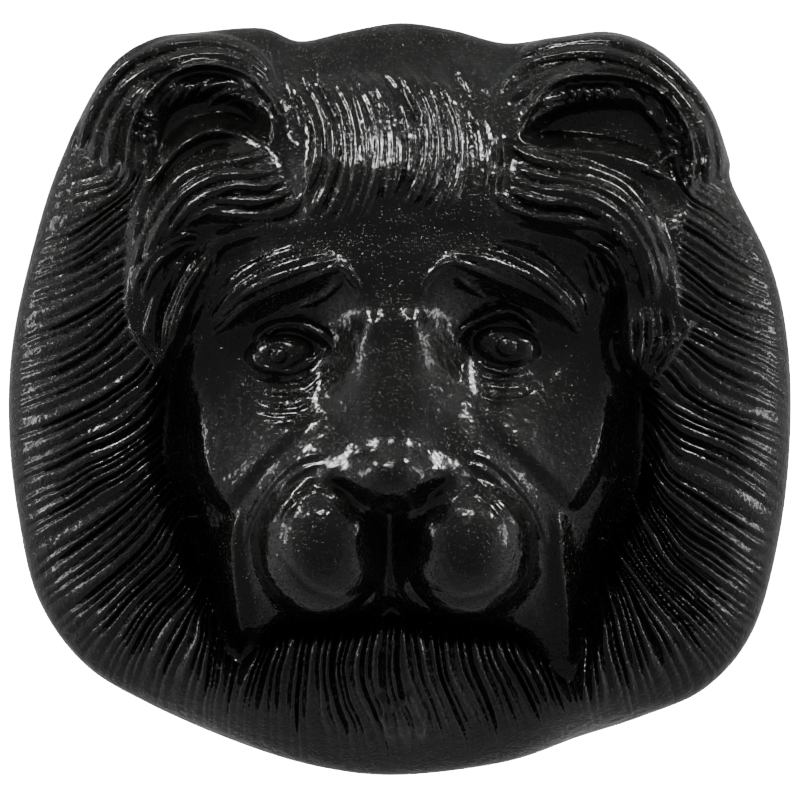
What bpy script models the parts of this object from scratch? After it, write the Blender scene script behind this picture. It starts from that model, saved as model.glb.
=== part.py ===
"""Lion head wall mask: a hollow-backed iron casting, 230 mm wide, made to be fixed to a wall.

The mask faces -Y, its flat back lies in the plane Y = 0 and +Z is up. The origin is on the web that
crosses the hollow back. The carving is laid out on a square drawing 800 units wide, with x to the
right and y down. Heights above the wall, half widths and depths are millimetres.
"""

import math

import bmesh
import bpy
import numpy as np

MM = 0.001

# Driving sizes
MASK_WIDTH = 230.0
MASK_WIDTH_ON_DRAWING = 780.0
DRAWING_CENTRE = 400.0
UNIT = MASK_WIDTH / MASK_WIDTH_ON_DRAWING

EDGE_HEIGHT = 9.0
EDGE_ROUNDING = 4.0
WALL = 6.5
RIM_WIDTH = 8.5
WEB_HEIGHT = 10.0
BOSS_RADIUS = 9.0
BOSS_OFFSET = 42.0
HOLE_RADIUS = 3.4
HOLE_DEPTH = 14.0

GRID_CELLS = 260
CARVING_TRIANGLES = 7600
CHAMBER_CELLS = 12
EDGE_MARGIN = 0.05
WALL_PROBES = 8
POST_SEGMENTS = 24
SHARP_DEGREES = 40.0
ENAMEL_COLOUR = (0.016, 0.017, 0.014, 1)
ENAMEL_ROUGHNESS = 0.3

# Outlines on the drawing, clockwise
OUTLINE = (
    (400, 24), (452, 31), (505, 44), (556, 38), (612, 33), (662, 54), (706, 102), (728, 158), (732, 186),
    (770, 265), (787, 345), (789, 440), (778, 537), (752, 630), (705, 687), (640, 716), (578, 736),
    (505, 761), (400, 774), (320, 766), (240, 742), (150, 703), (85, 663), (40, 600), (20, 520),
    (10, 430), (14, 340), (36, 240), (62, 160), (105, 76), (150, 41), (200, 33), (262, 29), (300, 42),
    (345, 33),
)
OUTLINE_STOPS = (
    (118, 62), (400, 24), (693, 84), (789, 400), (716, 677), (400, 774), (92, 671), (11, 400),
)
OUTLINE_MIDDLE = (393, 400)
FACE_EDGE = (
    (395, 232), (450, 228), (505, 226), (545, 232), (580, 246), (606, 270), (616, 300), (612, 330),
    (618, 360), (636, 384), (641, 410), (641, 445), (636, 485), (622, 515), (606, 545), (597, 590),
    (584, 635), (570, 680), (548, 662), (530, 645), (505, 632), (467, 627), (427, 620), (392, 612),
    (355, 620), (320, 626), (290, 628), (262, 642), (240, 660), (226, 645), (212, 600), (200, 565),
    (188, 530), (174, 489), (165, 455), (166, 415), (170, 385), (182, 352), (192, 325), (202, 296),
    (224, 258), (252, 242), (300, 236), (345, 234),
)

# Plateaus: rise, width of their soft sides, height over which the top fades, outlines
NOSE_PAD = (
    5.5, 6.0, 9.0,
    (
        (
            (322, 474), (327, 460), (342, 450), (364, 446), (390, 446), (414, 446), (438, 450),
            (455, 460), (462, 472), (455, 485), (438, 495), (415, 499), (390, 499), (365, 498),
            (344, 492), (328, 484),
        ),
    ),
)
CHEEK_PADS = (
    3.5, 5.0, 36.0,
    (
        (
            (202, 372), (198, 410), (201, 450), (211, 482), (228, 505), (244, 490), (268, 460),
            (298, 432), (312, 405), (290, 395), (240, 385),
        ),
        (
            (598, 366), (606, 392), (606, 425), (597, 460), (584, 487), (570, 503), (552, 487),
            (525, 460), (496, 434), (480, 405), (505, 390), (550, 378),
        ),
    ),
)

# Hollows of the ears: height of their floor, width of their soft sides, outlines
EAR_HOLLOWS = (
    17.0, 7.0,
    (
        (
            (150, 184), (143, 150), (149, 118), (166, 96), (196, 84), (230, 84), (256, 95), (272, 120),
            (272, 150), (246, 142), (216, 136), (190, 148), (168, 172),
        ),
        (
            (516, 140), (530, 114), (556, 98), (598, 91), (636, 95), (662, 112), (678, 142), (680, 190),
            (656, 176), (612, 162), (570, 156), (534, 154),
        ),
    ),
)

# Where the temple locks lie over the mane
TEMPLE_AREAS = (
    (
        (133, 196), (131, 230), (127, 262), (125, 292), (128, 325), (143, 348), (160, 370), (176, 392),
        (205, 385), (235, 330), (262, 285), (310, 262), (312, 200), (300, 150), (262, 128), (200, 128),
        (156, 160),
    ),
    (
        (686, 196), (681, 235), (677, 270), (679, 305), (686, 330), (675, 350), (661, 374), (646, 388),
        (620, 400), (585, 360), (572, 310), (545, 275), (490, 258), (486, 200), (490, 150), (530, 140),
        (640, 160),
    ),
)

# Heights of the hair, keyed by the angle from straight up around the middle of the head
HAIR_MIDDLE = (393, 430)
HAIR_ANGLES = (0, 20, 38, 60, 90, 130, 155, 180)
VALLEY_HEIGHT = (46, 44, 36, 25, 18, 17, 24, 33)
CREST_HEIGHT = (46, 44.5, 39, 34, 30, 28, 32, 42)
FALL_POWER = (1.5, 1.5, 1.6, 1.9, 2.2, 2.2, 1.8, 1.6)
FACE_ROLL = (8, 7, 4, 6, 8, 9, 6, 4)
CREST_ROLL = 5.0
SHOULDER = 2.2
MANE_FROM = 38.0
MANE_FADE = 14.0
CALM_EDGE = 6.0
CALM_SHARE = 0.35

# Strands of the mane: running number around the head, and the way from the face to the edge
MANE_STRANDS = (
    (-3, ((118, 182), (92, 192), (62, 198), (44, 202))),
    (0, ((124, 203), (100, 220), (75, 235), (38, 246))),
    (3, ((128, 225), (116, 234), (94, 252), (70, 266), (30, 280))),
    (5, ((133, 250), (112, 262), (87, 276), (53, 290), (24, 300))),
    (7.4, ((130, 282), (109, 297), (87, 309), (62, 320), (18, 336))),
    (10, ((128, 303), (116, 314), (100, 328), (75, 344), (14, 366))),
    (14, ((141, 345), (128, 358), (94, 381), (52, 400), (12, 415))),
    (18, ((165, 366), (157, 382), (134, 402), (91, 428), (50, 448), (12, 464))),
    (20.7, ((167, 400), (156, 420), (134, 438), (109, 452), (70, 472), (14, 500))),
    (23.4, ((163, 436), (142, 453), (97, 479), (57, 503), (19, 524))),
    (26.5, ((166, 460), (151, 474), (119, 500), (82, 525), (28, 566))),
    (32, ((178, 500), (166, 516), (140, 550), (112, 575), (80, 600), (48, 626))),
    (36, ((187, 530), (179, 550), (159, 574), (131, 601), (105, 632), (82, 664))),
    (39, ((195, 550), (188, 568), (170, 590), (151, 610), (135, 635), (112, 686))),
    (42, ((202, 572), (194, 590), (176, 610), (160, 632), (148, 658), (136, 700))),
    (45.5, ((210, 598), (201, 632), (186, 672), (176, 716))),
    (48, ((217, 608), (215, 636), (209, 675), (202, 728))),
    (50.5, ((228, 640), (226, 665), (221, 695), (217, 735))),
    (54, ((262, 648), (252, 672), (244, 703), (242, 744))),
    (57.5, ((287, 634), (278, 665), (274, 703), (276, 756))),
    (60.3, ((310, 630), (304, 670), (301, 710), (303, 764))),
    (62.2, ((326, 628), (319, 665), (320, 710), (327, 768))),
    (64, ((340, 626), (333, 662), (337, 694), (347, 722), (352, 772))),
    (66, ((354, 624), (345, 662), (351, 696), (364, 726), (373, 776))),
    (68.5, ((375, 618), (367, 660), (375, 700), (388, 735), (394, 778))),
    (71, ((392, 616), (389, 660), (397, 700), (410, 735), (416, 776))),
    (73.7, ((412, 620), (416, 655), (427, 695), (440, 735), (445, 773))),
    (76.2, ((434, 626), (440, 668), (453, 700), (466, 732), (471, 768))),
    (79.2, ((460, 630), (466, 668), (480, 700), (491, 735), (495, 763))),
    (83, ((492, 636), (507, 672), (521, 705), (532, 735), (535, 752))),
    (86.5, ((525, 650), (541, 680), (554, 710), (561, 742))),
    (89.2, ((562, 680), (568, 698), (575, 718), (581, 738))),
    (91.5, ((582, 640), (580, 675), (585, 705), (592, 733))),
    (93.6, ((594, 605), (597, 640), (604, 682), (613, 726))),
    (97, ((602, 570), (611, 597), (620, 632), (632, 672), (645, 716))),
    (101, ((608, 552), (630, 583), (648, 615), (668, 655), (684, 702))),
    (104, ((615, 535), (631, 563), (652, 590), (682, 622), (708, 656), (722, 680))),
    (109, ((628, 510), (646, 547), (664, 572), (695, 599), (726, 630), (748, 652))),
    (111.5, ((636, 494), (656, 534), (683, 568), (714, 594), (760, 628))),
    (116, ((640, 470), (656, 500), (680, 528), (712, 550), (745, 575), (775, 598))),
    (119, ((641, 448), (655, 475), (684, 502), (715, 523), (746, 545), (782, 566))),
    (122.5, ((642, 410), (656, 428), (690, 455), (720, 471), (748, 490), (788, 520))),
    (126, ((644, 386), (662, 402), (690, 420), (725, 434), (752, 448), (790, 470))),
    (128, ((664, 378), (680, 396), (705, 410), (735, 422), (790, 446))),
    (131.5, ((680, 345), (700, 360), (722, 374), (750, 388), (790, 408))),
    (134.5, ((680, 322), (696, 330), (725, 345), (752, 356), (788, 375))),
    (137.5, ((678, 290), (694, 300), (716, 314), (745, 328), (784, 342))),
    (139.5, ((676, 268), (692, 280), (712, 296), (738, 310), (776, 324))),
    (143, ((674, 236), (690, 246), (712, 262), (735, 276), (768, 290))),
    (147, ((684, 205), (704, 216), (725, 232), (745, 245), (762, 256))),
    (150, ((696, 188), (715, 200), (732, 212), (745, 222))),
)
STRAND_DEPTH = 1.5
PARTING_DEPTH = 1.0
STRANDS_PER_PARTING = 4
STRAND_TIP = 1.3
TAPER_LENGTH = 6.0
STRAND_SLACK = 0.4
UNEVEN_WIDTHS = 0.17
UNEVEN_FLOW = 0.12
TEMPLE_DROP = 3.5
TEMPLE_SLOPE = 7.0
TEMPLE_HEM = 2.0

# Heights of the bare face at points of the drawing
FACE_SLACK = 6.0
FACE_POSTS = (
    ((392, 236), 45), ((320, 238), 43), ((465, 236), 43), ((250, 250), 34), ((540, 244), 34),
    ((392, 280), 45), ((392, 318), 49), ((352, 276), 47), ((318, 262), 44), ((275, 268), 39),
    ((236, 300), 34), ((214, 340), 29), ((431, 276), 47), ((465, 260), 44), ((510, 262), 39),
    ((552, 298), 34), ((578, 335), 29), ((335, 305), 40), ((300, 316), 34), ((262, 328), 30),
    ((322, 352), 34), ((240, 352), 28), ((452, 303), 40), ((490, 304), 34), ((530, 322), 30),
    ((468, 348), 34), ((552, 346), 28), ((283, 352), 32), ((504, 346), 32), ((392, 350), 53),
    ((362, 350), 49), ((424, 350), 49), ((392, 400), 56), ((350, 400), 51), ((436, 400), 51),
    ((391, 440), 58.5), ((352, 436), 54), ((432, 436), 54), ((312, 400), 40), ((470, 398), 40),
    ((285, 405), 38), ((502, 390), 38), ((245, 400), 33), ((545, 390), 33), ((250, 450), 35),
    ((545, 440), 35), ((290, 425), 40), ((500, 418), 40), ((205, 400), 28), ((600, 395), 28),
    ((205, 470), 27), ((595, 460), 27), ((178, 420), 20), ((628, 420), 20), ((228, 520), 28),
    ((572, 515), 28), ((318, 450), 52), ((466, 448), 52), ((285, 480), 47), ((500, 478), 47),
    ((258, 520), 37), ((532, 520), 37), ((389, 475), 56), ((389, 500), 52), ((389, 540), 47),
    ((389, 590), 41), ((250, 570), 30), ((540, 570), 30), ((235, 620), 24), ((560, 620), 24),
    ((238, 650), 20), ((570, 670), 20), ((340, 615), 36), ((440, 615), 36), ((390, 612), 36),
    ((285, 622), 30), ((505, 625), 30),
)

# Rounded bodies of locks: path, half widths along it, rise
LOCK_BODIES = (
    (
        ((300, 180), (262, 184), (225, 188), (190, 203), (165, 235), (152, 275), (150, 315), (160, 350)),
        (13, 13, 12, 10, 8.5, 7.5, 6.5, 5), 5.5,
    ),
    (
        ((490, 182), (535, 190), (575, 198), (612, 214), (638, 242), (652, 280), (654, 310), (652, 340)),
        (13, 13, 12, 10, 8.5, 7.5, 7.5, 6), 5.5,
    ),
    (((218, 250), (202, 280), (188, 315), (174, 356)), (5, 8, 7, 4), 3.6),
    (((594, 246), (606, 268), (614, 300)), (5, 8, 5), 3.0),
    (((638, 300), (636, 334), (630, 376)), (7, 9, 5), 2.6),
    (((356, 272), (322, 266), (282, 275), (245, 298), (214, 328)), (4, 8, 9.5, 8, 4), 3.0),
    (((428, 274), (460, 262), (506, 268), (545, 288), (580, 328)), (4, 8, 9.5, 8, 4), 3.0),
    (((384, 60), (390, 110), (388, 160), (380, 215)), (20, 27, 27, 24), 2.5),
)

# Single strands: half width, rise, paths
FORELOCK = (
    2.1, 2.0,
    (
        ((289, 80), (304, 102), (315, 128), (318, 152), (314, 176), (306, 200)),
        ((304, 76), (320, 100), (332, 126), (335, 152), (332, 178), (322, 204), (312, 218)),
        ((318, 74), (333, 98), (343, 124), (347, 152), (345, 182), (336, 208), (326, 222)),
        ((328, 74), (344, 98), (354, 124), (358, 152), (355, 184), (346, 210), (337, 228)),
        ((339, 72), (355, 96), (365, 124), (369, 152), (366, 184), (357, 210), (350, 224)),
        ((349, 70), (366, 96), (376, 124), (380, 152), (376, 184), (366, 210), (358, 226)),
        ((384, 72), (400, 96), (411, 124), (414, 150), (411, 174), (403, 194)),
        ((396, 72), (412, 96), (422, 124), (426, 150), (422, 178), (412, 200), (404, 212)),
        ((408, 74), (424, 98), (434, 126), (437, 152), (434, 180), (424, 204), (416, 216)),
        ((418, 76), (435, 100), (446, 126), (449, 152), (446, 180), (437, 204), (427, 218)),
        ((430, 78), (447, 100), (457, 126), (460, 152), (458, 178), (450, 200), (439, 216)),
        ((468, 108), (478, 130), (483, 152), (484, 174), (480, 196)),
        ((480, 112), (490, 132), (494, 154), (495, 176), (492, 196)),
    ),
)
FORELOCK_MIDDLE = (2.9, 2.6, (((366, 74), (382, 98), (391, 126), (395, 152), (392, 182), (384, 208)),))
TEMPLES = (
    2.0, 2.0,
    (
        ((240, 139), (216, 135), (196, 142), (176, 156), (162, 174), (150, 196), (141, 222), (136, 248)),
        ((272, 156), (242, 163), (218, 167), (194, 173), (174, 188), (158, 212), (146, 242), (137, 270)),
        ((280, 174), (252, 178), (228, 178), (204, 186), (184, 200), (168, 221), (155, 246), (145, 264)),
        ((286, 184), (264, 190), (240, 189), (216, 196), (196, 209), (180, 226), (168, 242)),
        ((294, 194), (272, 203), (248, 205), (222, 206), (203, 216), (188, 230)),
        ((508, 150), (528, 160), (556, 166), (590, 172), (622, 186), (642, 208), (656, 234), (666, 262)),
        ((514, 172), (540, 179), (568, 185), (598, 192), (624, 208), (642, 232), (654, 262), (660, 290)),
        ((512, 184), (540, 193), (572, 197), (600, 207), (622, 224), (638, 248), (648, 276), (652, 302)),
        ((508, 194), (540, 205), (574, 208), (600, 219), (618, 236), (632, 260), (640, 288), (642, 306)),
    ),
)
TEMPLE_HEMS = (
    2.2, 2.8,
    (
        ((304, 198), (292, 210), (270, 217), (240, 219), (214, 217), (196, 226)),
        ((492, 198), (510, 210), (536, 221), (566, 223), (592, 228), (612, 240), (626, 254)),
    ),
)
CURLS = (
    1.5, 1.7,
    (
        ((208, 240), (195, 238), (180, 243), (163, 253), (151, 265), (142, 278), (138, 296)),
        ((203, 244), (186, 248), (171, 257), (160, 268), (151, 284), (147, 302)),
        ((188, 258), (179, 270), (173, 283), (165, 298), (160, 314), (157, 332), (159, 350)),
        ((168, 286), (160, 300), (154, 318), (151, 336), (156, 352)),
        ((198, 260), (190, 272), (183, 285), (176, 300), (170, 316), (166, 334), (165, 356)),
        ((208, 260), (200, 273), (191, 286), (183, 301), (177, 318), (173, 336), (169, 358)),
        ((216, 262), (208, 278), (199, 293), (190, 309), (183, 324), (178, 340), (173, 358)),
        ((224, 254), (216, 271), (207, 288), (198, 305), (190, 321), (185, 337), (178, 356)),
        ((583, 254), (587, 268), (592, 284), (600, 300)),
        ((590, 253), (598, 268), (604, 283), (610, 296)),
        ((598, 254), (606, 266), (612, 280), (617, 294)),
        ((607, 256), (615, 266), (621, 279), (624, 291)),
        ((615, 257), (624, 268), (630, 279), (634, 290)),
        ((611, 336), (611, 350), (616, 364), (625, 376)),
        ((618, 324), (618, 343), (621, 360), (629, 376)),
        ((627, 316), (626, 338), (627, 358), (633, 375)),
        ((637, 312), (638, 334), (637, 354), (636, 373)),
        ((645, 306), (648, 328), (647, 348), (642, 368)),
        ((653, 308), (657, 328), (657, 346), (649, 366)),
        ((661, 306), (667, 324), (667, 340), (658, 358)),
    ),
)
TUFT_CAPS = (
    1.6, 1.8,
    (
        ((578, 256), (590, 249), (603, 251), (613, 259), (624, 266)),
        ((600, 250), (612, 252), (622, 259), (630, 268)),
        ((690, 318), (682, 332), (673, 346), (664, 360), (655, 373), (643, 384)),
        ((133, 318), (137, 332), (145, 345), (155, 357), (166, 368)),
    ),
)
EAR_SURROUNDS = (
    2.3, 2.2,
    (
        (
            (82, 150), (90, 116), (108, 84), (132, 62), (160, 50), (190, 43), (220, 44), (246, 52),
            (264, 66), (278, 88),
        ),
        (
            (96, 166), (100, 132), (114, 102), (136, 80), (164, 65), (198, 56), (232, 58), (258, 70),
            (276, 90), (288, 116),
        ),
        ((112, 176), (112, 146), (120, 118), (138, 97), (158, 80)),
        ((70, 152), (80, 112), (100, 78), (126, 54), (154, 42)),
        (
            (500, 96), (508, 82), (520, 70), (544, 59), (576, 54), (610, 56), (644, 68), (672, 90),
            (694, 120), (704, 152),
        ),
        ((506, 106), (522, 92), (542, 79), (574, 71), (604, 70)),
        (
            (514, 64), (540, 48), (580, 42), (620, 44), (655, 58), (686, 84), (708, 116), (718, 152),
            (716, 180),
        ),
        ((690, 106), (702, 130), (708, 158), (704, 186)),
    ),
)
BROWS = (
    1.5, 1.0,
    (
        (
            (364, 300), (355, 283), (342, 270), (323, 277), (299, 287), (271, 297), (248, 309),
            (228, 326), (210, 338),
        ),
        ((340, 262), (318, 268), (292, 276), (264, 287), (241, 301), (220, 322)),
        ((328, 256), (304, 262), (276, 271), (250, 284), (231, 300), (212, 324)),
        ((312, 251), (286, 256), (260, 266), (238, 281), (222, 298), (208, 318)),
        (
            (421, 300), (425, 285), (436, 272), (453, 265), (475, 273), (501, 284), (528, 296),
            (556, 312), (582, 338),
        ),
        ((452, 256), (476, 260), (504, 269), (530, 280), (555, 298), (578, 324)),
        ((468, 250), (494, 254), (520, 264), (544, 279), (564, 298), (580, 320)),
        ((486, 246), (514, 250), (540, 262), (560, 279), (576, 300), (584, 322)),
    ),
)
UPPER_LIDS = (
    2.1, 3.2,
    (
        ((254, 350), (263, 336), (278, 327), (298, 325), (316, 332), (328, 341), (336, 350)),
        ((454, 344), (463, 331), (476, 322), (493, 315), (509, 313), (523, 321), (536, 334)),
    ),
)
LOWER_LIDS = (
    1.1, 1.5,
    (
        ((256, 362), (272, 371), (290, 373), (306, 367), (318, 357), (325, 349)),
        ((476, 360), (485, 368), (500, 372), (515, 370), (528, 363), (540, 352)),
    ),
)
# Plain ridges, and grooves where the rise is below zero: half widths, rise, share that tapers, paths
EAR_RIMS = (
    (2.4, 1.6, 1.4, 1.8), 5.0, 0.1,
    (
        (
            (134, 186), (131, 162), (133, 136), (141, 112), (156, 92), (176, 76), (202, 68), (230, 71),
            (254, 82), (271, 100), (281, 120), (287, 142),
        ),
        (
            (518, 126), (530, 108), (546, 90), (566, 81), (600, 78), (630, 82), (654, 92), (674, 112),
            (688, 140), (690, 168), (684, 204),
        ),
    ),
)
JOWLS = (
    (2.5, 3.5, 3.5, 3.5, 3), 2.5, 0.2,
    (
        ((244, 500), (236, 530), (236, 565), (241, 605), (244, 650)),
        ((552, 500), (558, 530), (559, 560), (565, 615), (573, 670)),
    ),
)
LIPS = (
    (2, 3.5, 4, 4, 3.5, 2), 2.2, 0.2,
    (
        ((262, 540), (270, 572), (288, 600), (320, 611), (355, 606), (384, 590)),
        ((538, 545), (526, 576), (504, 602), (470, 612), (436, 607), (408, 590)),
    ),
)
PHILTRUM = ((5, 6, 6, 6), -6, 0.1, (((390, 500), (390, 535), (390, 575), (391, 622)),))
GULLIES = (
    (2, 2), -1.8, 0.2,
    (
        ((384, 78), (400, 98), (413, 116), (419, 134)), ((315, 84), (327, 106), (340, 130)),
        ((384, 640), (384, 668), (380, 700)),
    ),
)

# Eggs: radii, base, rise, roundness, blend, places and tilt
MUZZLE_BALLS = ((19.5, 21.5), 36.0, 26.0, 0.55, 4.0, ((324, 540, 6), (466, 541, -6)))
EYEBALLS = ((10.0, 5.8), 31.0, 6.0, 0.5, 1.2, ((284, 356, 7), (502, 348, -7)))
# Irises: depth and half width of the ring, rise and radius of the pupil, places and radius of the ring
IRISES = (0.9, 0.55, 0.7, 0.8, ((281, 356, 2.7), (505, 348, 3.2)))

# Soft round swellings and dents: rise, radii, places and any tilt
NOSTRILS = (-4.5, (5.0, 2.2), ((345, 486, -28), (434, 487, 28)))
FROWN = (2.6, (3.6, 3.6), ((372, 318), (413, 316)))
NOSE_LOBES = (1.6, (5.5, 4.0), ((374, 462), (406, 459)))
NOSE_TIP = (4.5, (14.0, 8.0), ((391, 470),))
CHIN = (3.0, (30.0, 12.0), ((392, 668),))


def at(point):
    """Millimetres right of and above the origin, for a point of the drawing."""
    return ((point[0] - DRAWING_CENTRE) * UNIT, (DRAWING_CENTRE - point[1]) * UNIT)


def smooth_curve(points, closed=False, steps=6):
    """A curve through the drawing's points, as millimetres."""
    corners = np.array([at(point) for point in points])
    count = len(corners)
    t = np.linspace(0, 1, steps, endpoint=False)[:, None]
    pieces = []
    for i in range(count if closed else count - 1):
        places = [(i + k) % count if closed else min(max(i + k, 0), count - 1) for k in (-1, 0, 1, 2)]
        before, start, end, after = corners[places]
        bend = 2 * before - 5 * start + 4 * end - after
        twist = 3 * start - before - 3 * end + after
        pieces.append(0.5 * (2 * start + (end - before) * t + bend * t**2 + twist * t**3))
    if not closed:
        pieces.append(corners[-1:])
    return np.vstack(pieces)


def nearest_on(path, x, z, closed=False):
    """Distance to a path, and how far along it the nearest point is (0 to 1)."""
    starts = path if closed else path[:-1]
    ends = np.roll(path, -1, 0) if closed else path[1:]
    runs = ends - starts
    lengths = np.hypot(runs[:, 0], runs[:, 1])
    passed = np.concatenate([[0], np.cumsum(lengths)])
    best = np.full(x.shape, 1e12)
    along = np.zeros(x.shape)
    for i, (start, run, length) in enumerate(zip(starts, runs, lengths)):
        dx = x - start[0]
        dz = z - start[1]
        share = np.clip((dx * run[0] + dz * run[1]) / (length**2 + 1e-12), 0, 1)
        gap = (dx - share * run[0]) ** 2 + (dz - share * run[1]) ** 2
        closer = gap < best
        best = np.where(closer, gap, best)
        along = np.where(closer, (passed[i] + share * length) / passed[-1], along)
    return np.sqrt(best), along


def is_inside(path, x, z):
    crossings = np.zeros(x.shape, bool)
    for start, end in zip(path, np.roll(path, -1, 0)):
        spans = (start[1] > z) != (end[1] > z)
        meets = start[0] + (end[0] - start[0]) * (z - start[1]) / (end[1] - start[1] + 1e-15)
        crossings ^= spans & (x < meets)
    return crossings


def ease(t):
    t = np.clip(t, 0, 1)
    return t * t * (3 - 2 * t)


def rolled(t):
    """A rounded shoulder: steep at 0 and level at 1."""
    return 1 - (1 - np.clip(t, 0, 1)) ** SHOULDER


def soft_max(a, b, blend):
    overlap = np.maximum(blend - np.abs(a - b), 0) / blend
    return np.maximum(a, b) + overlap**2 * blend / 4


def turned(x, z, middle, radii, degrees=0.0):
    """Offsets from a middle in an ellipse's own turned axes, in radii."""
    cos = math.cos(math.radians(degrees))
    sin = math.sin(math.radians(degrees))
    dx = x - middle[0]
    dz = z - middle[1]
    return (dx * cos + dz * sin) / radii[0], (dz * cos - dx * sin) / radii[1]


def soft_surface(x, z, posts, slack):
    """A thin plate bent through posts of given heights."""
    places = np.array([at(point) for point, _ in posts])
    heights = np.array([height for _, height in posts], float)
    count = len(places)

    def plate(squared):
        return 0.5 * squared * np.log(squared + 1e-9)

    squared = ((places[:, None] - places[None]) ** 2).sum(2)
    system = np.zeros((count + 3, count + 3))
    system[:count, :count] = plate(squared) + slack * np.eye(count)
    system[:count, count] = 1
    system[:count, count + 1 :] = places
    system[count, :count] = 1
    system[count + 1 :, :count] = places.T
    weights = np.linalg.solve(system, np.concatenate([heights, np.zeros(3)]))
    surface = weights[count] + weights[count + 1] * x + weights[count + 2] * z
    for place, weight in zip(places, weights):
        surface = surface + weight * plate((x - place[0]) ** 2 + (z - place[1]) ** 2)
    return surface


class Carving:
    """Heights over the wall at the points x, z, and how bare of locks each point still is."""

    def __init__(self, x, z, height):
        self.x = x
        self.z = z
        self.height = height
        self.bare = np.ones_like(height)

    def close_to(self, path, reach):
        low = path.min(0) - reach
        high = path.max(0) + reach
        return (self.x > low[0]) & (self.x < high[0]) & (self.z > low[1]) & (self.z < high[1])

    def ridges(self, widths, rise, ends, paths):
        """Plain round ridges, or grooves where rise is negative."""
        for points in paths:
            path = smooth_curve(points)
            near = self.close_to(path, 2.2 * max(widths))
            gap, along = nearest_on(path, self.x[near], self.z[near])
            width = np.interp(along, np.linspace(0, 1, len(widths)), widths)
            taper = ease(along / ends) * ease((1 - along) / ends)
            self.height[near] += rise * taper * np.exp(-((gap / (0.75 * width)) ** 2))

    def plateaus(self, rise, softness, fade_top, outlines):
        """Plateaus with soft sides, level with the surface at their top."""
        for points in outlines:
            path = smooth_curve(points, closed=True)
            near = self.close_to(path, 2 * softness)
            x = self.x[near]
            z = self.z[near]
            gap, _ = nearest_on(path, x, z, closed=True)
            depth_in = np.where(is_inside(path, x, z), gap, -gap)
            share = ease(0.5 + depth_in / softness) * ease((path[:, 1].max() - z) / fade_top)
            self.height[near] += rise * share

    def hollows(self, floor, softness, outlines):
        """Hollows with soft sides and a level floor."""
        for points in outlines:
            path = smooth_curve(points, closed=True)
            gap, _ = nearest_on(path, self.x, self.z, closed=True)
            share = np.where(is_inside(path, self.x, self.z), ease(gap / softness), 0)
            self.height += share * (np.minimum(self.height, floor) - self.height)
            self.bare *= 1 - share

    def swellings(self, rise, radii, places):
        """Soft round swellings, or dents where rise is negative."""
        for place in places:
            u, v = turned(self.x, self.z, at(place), radii, *place[2:])
            self.height += rise * np.exp(-(u * u + v * v))

    def eggs(self, radii, base, rise, roundness, blend, places):
        """Eggs that stand on a base height and blend into the surface around them."""
        for place in places:
            u, v = turned(self.x, self.z, at(place), radii, *place[2:])
            reach = u * u + v * v
            cap = np.where(reach < 1, np.maximum(1 - reach, 0) ** roundness, 1.5 * (1 - reach))
            self.height = soft_max(self.height, base + rise * cap, blend)

    def irises(self, ring_depth, ring_width, pupil_rise, pupil_radius, places):
        for x, y, ring in places:
            middle = at((x, y))
            from_pupil = np.hypot(self.x - middle[0], self.z - middle[1])
            self.height -= ring_depth * np.exp(-(((from_pupil - ring) / ring_width) ** 2))
            self.height += pupil_rise * np.exp(-((from_pupil / pupil_radius) ** 2))

    def lock(self, points, widths, rise):
        """The rounded body of a lock, under its strands."""
        path = smooth_curve(points)
        near = self.close_to(path, 1.1 * max(widths))
        gap, along = nearest_on(path, self.x[near], self.z[near])
        width = np.interp(along, np.linspace(0, 1, len(widths)), widths)
        across = np.clip(gap / width, 0, 1)
        taper = ease(along / 0.3) * ease((1 - along) / 0.3)
        self.height[near] += rise * taper * (1 - across**2) ** 1.2
        self.bare[near] *= 1 - ease(3 * (1 - across)) * taper

    def strands(self, width, rise, paths):
        """Round strands side by side, with a point at both ends."""
        added = np.zeros_like(self.height)
        for number, points in enumerate(paths):
            path = smooth_curve(points)
            near = self.close_to(path, 1.6 * width)
            gap, along = nearest_on(path, self.x[near], self.z[near])
            ends = min(TAPER_LENGTH / np.hypot(*np.diff(path, axis=0).T).sum(), 0.5)
            taper = ease(along / ends) * ease((1 - along) / ends)
            swell = 1 + 0.14 * np.sin(11 * along + 2.4 * number)
            across = np.clip(gap / (width * swell * (0.45 + 0.55 * taper)), 0, 1)
            rope = rise * swell * taper**0.6 * (1 - across**2) ** 0.9
            added[near] = np.maximum(added[near], rope)
            self.bare[near] *= 1 - ease(2.2 - 1.4 * gap / width) * np.clip(2 * taper, 0, 1)
        self.height += added


def mane_strands(x, z):
    """The mane's strands: 1 on a crest and 0 in a groove, and the same for the deeper partings."""
    posts = [(point, number) for number, path in MANE_STRANDS for point in path]
    number = soft_surface(x, z, posts, STRAND_SLACK)
    uneven = UNEVEN_WIDTHS * np.sin(2.3 * number) + UNEVEN_FLOW * np.sin(0.9 * number + 0.11 * x - 0.07 * z)
    number = number + uneven
    across = np.abs(2 * (number % 1) - 1)
    grouped = np.abs(2 * ((number / STRANDS_PER_PARTING) % 1) - 1)
    return (1 - across**2.2) ** 0.8, 1 - grouped**7


def depth_in_temples(x, z):
    """How far inside the temple locks' areas each point is, in millimetres."""
    deepest = np.zeros_like(x)
    for area in TEMPLE_AREAS:
        border = smooth_curve(area, closed=True, steps=3)
        gap, _ = nearest_on(border, x, z, closed=True)
        deepest = np.maximum(deepest, np.where(is_inside(border, x, z), gap, 0))
    return deepest


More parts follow.
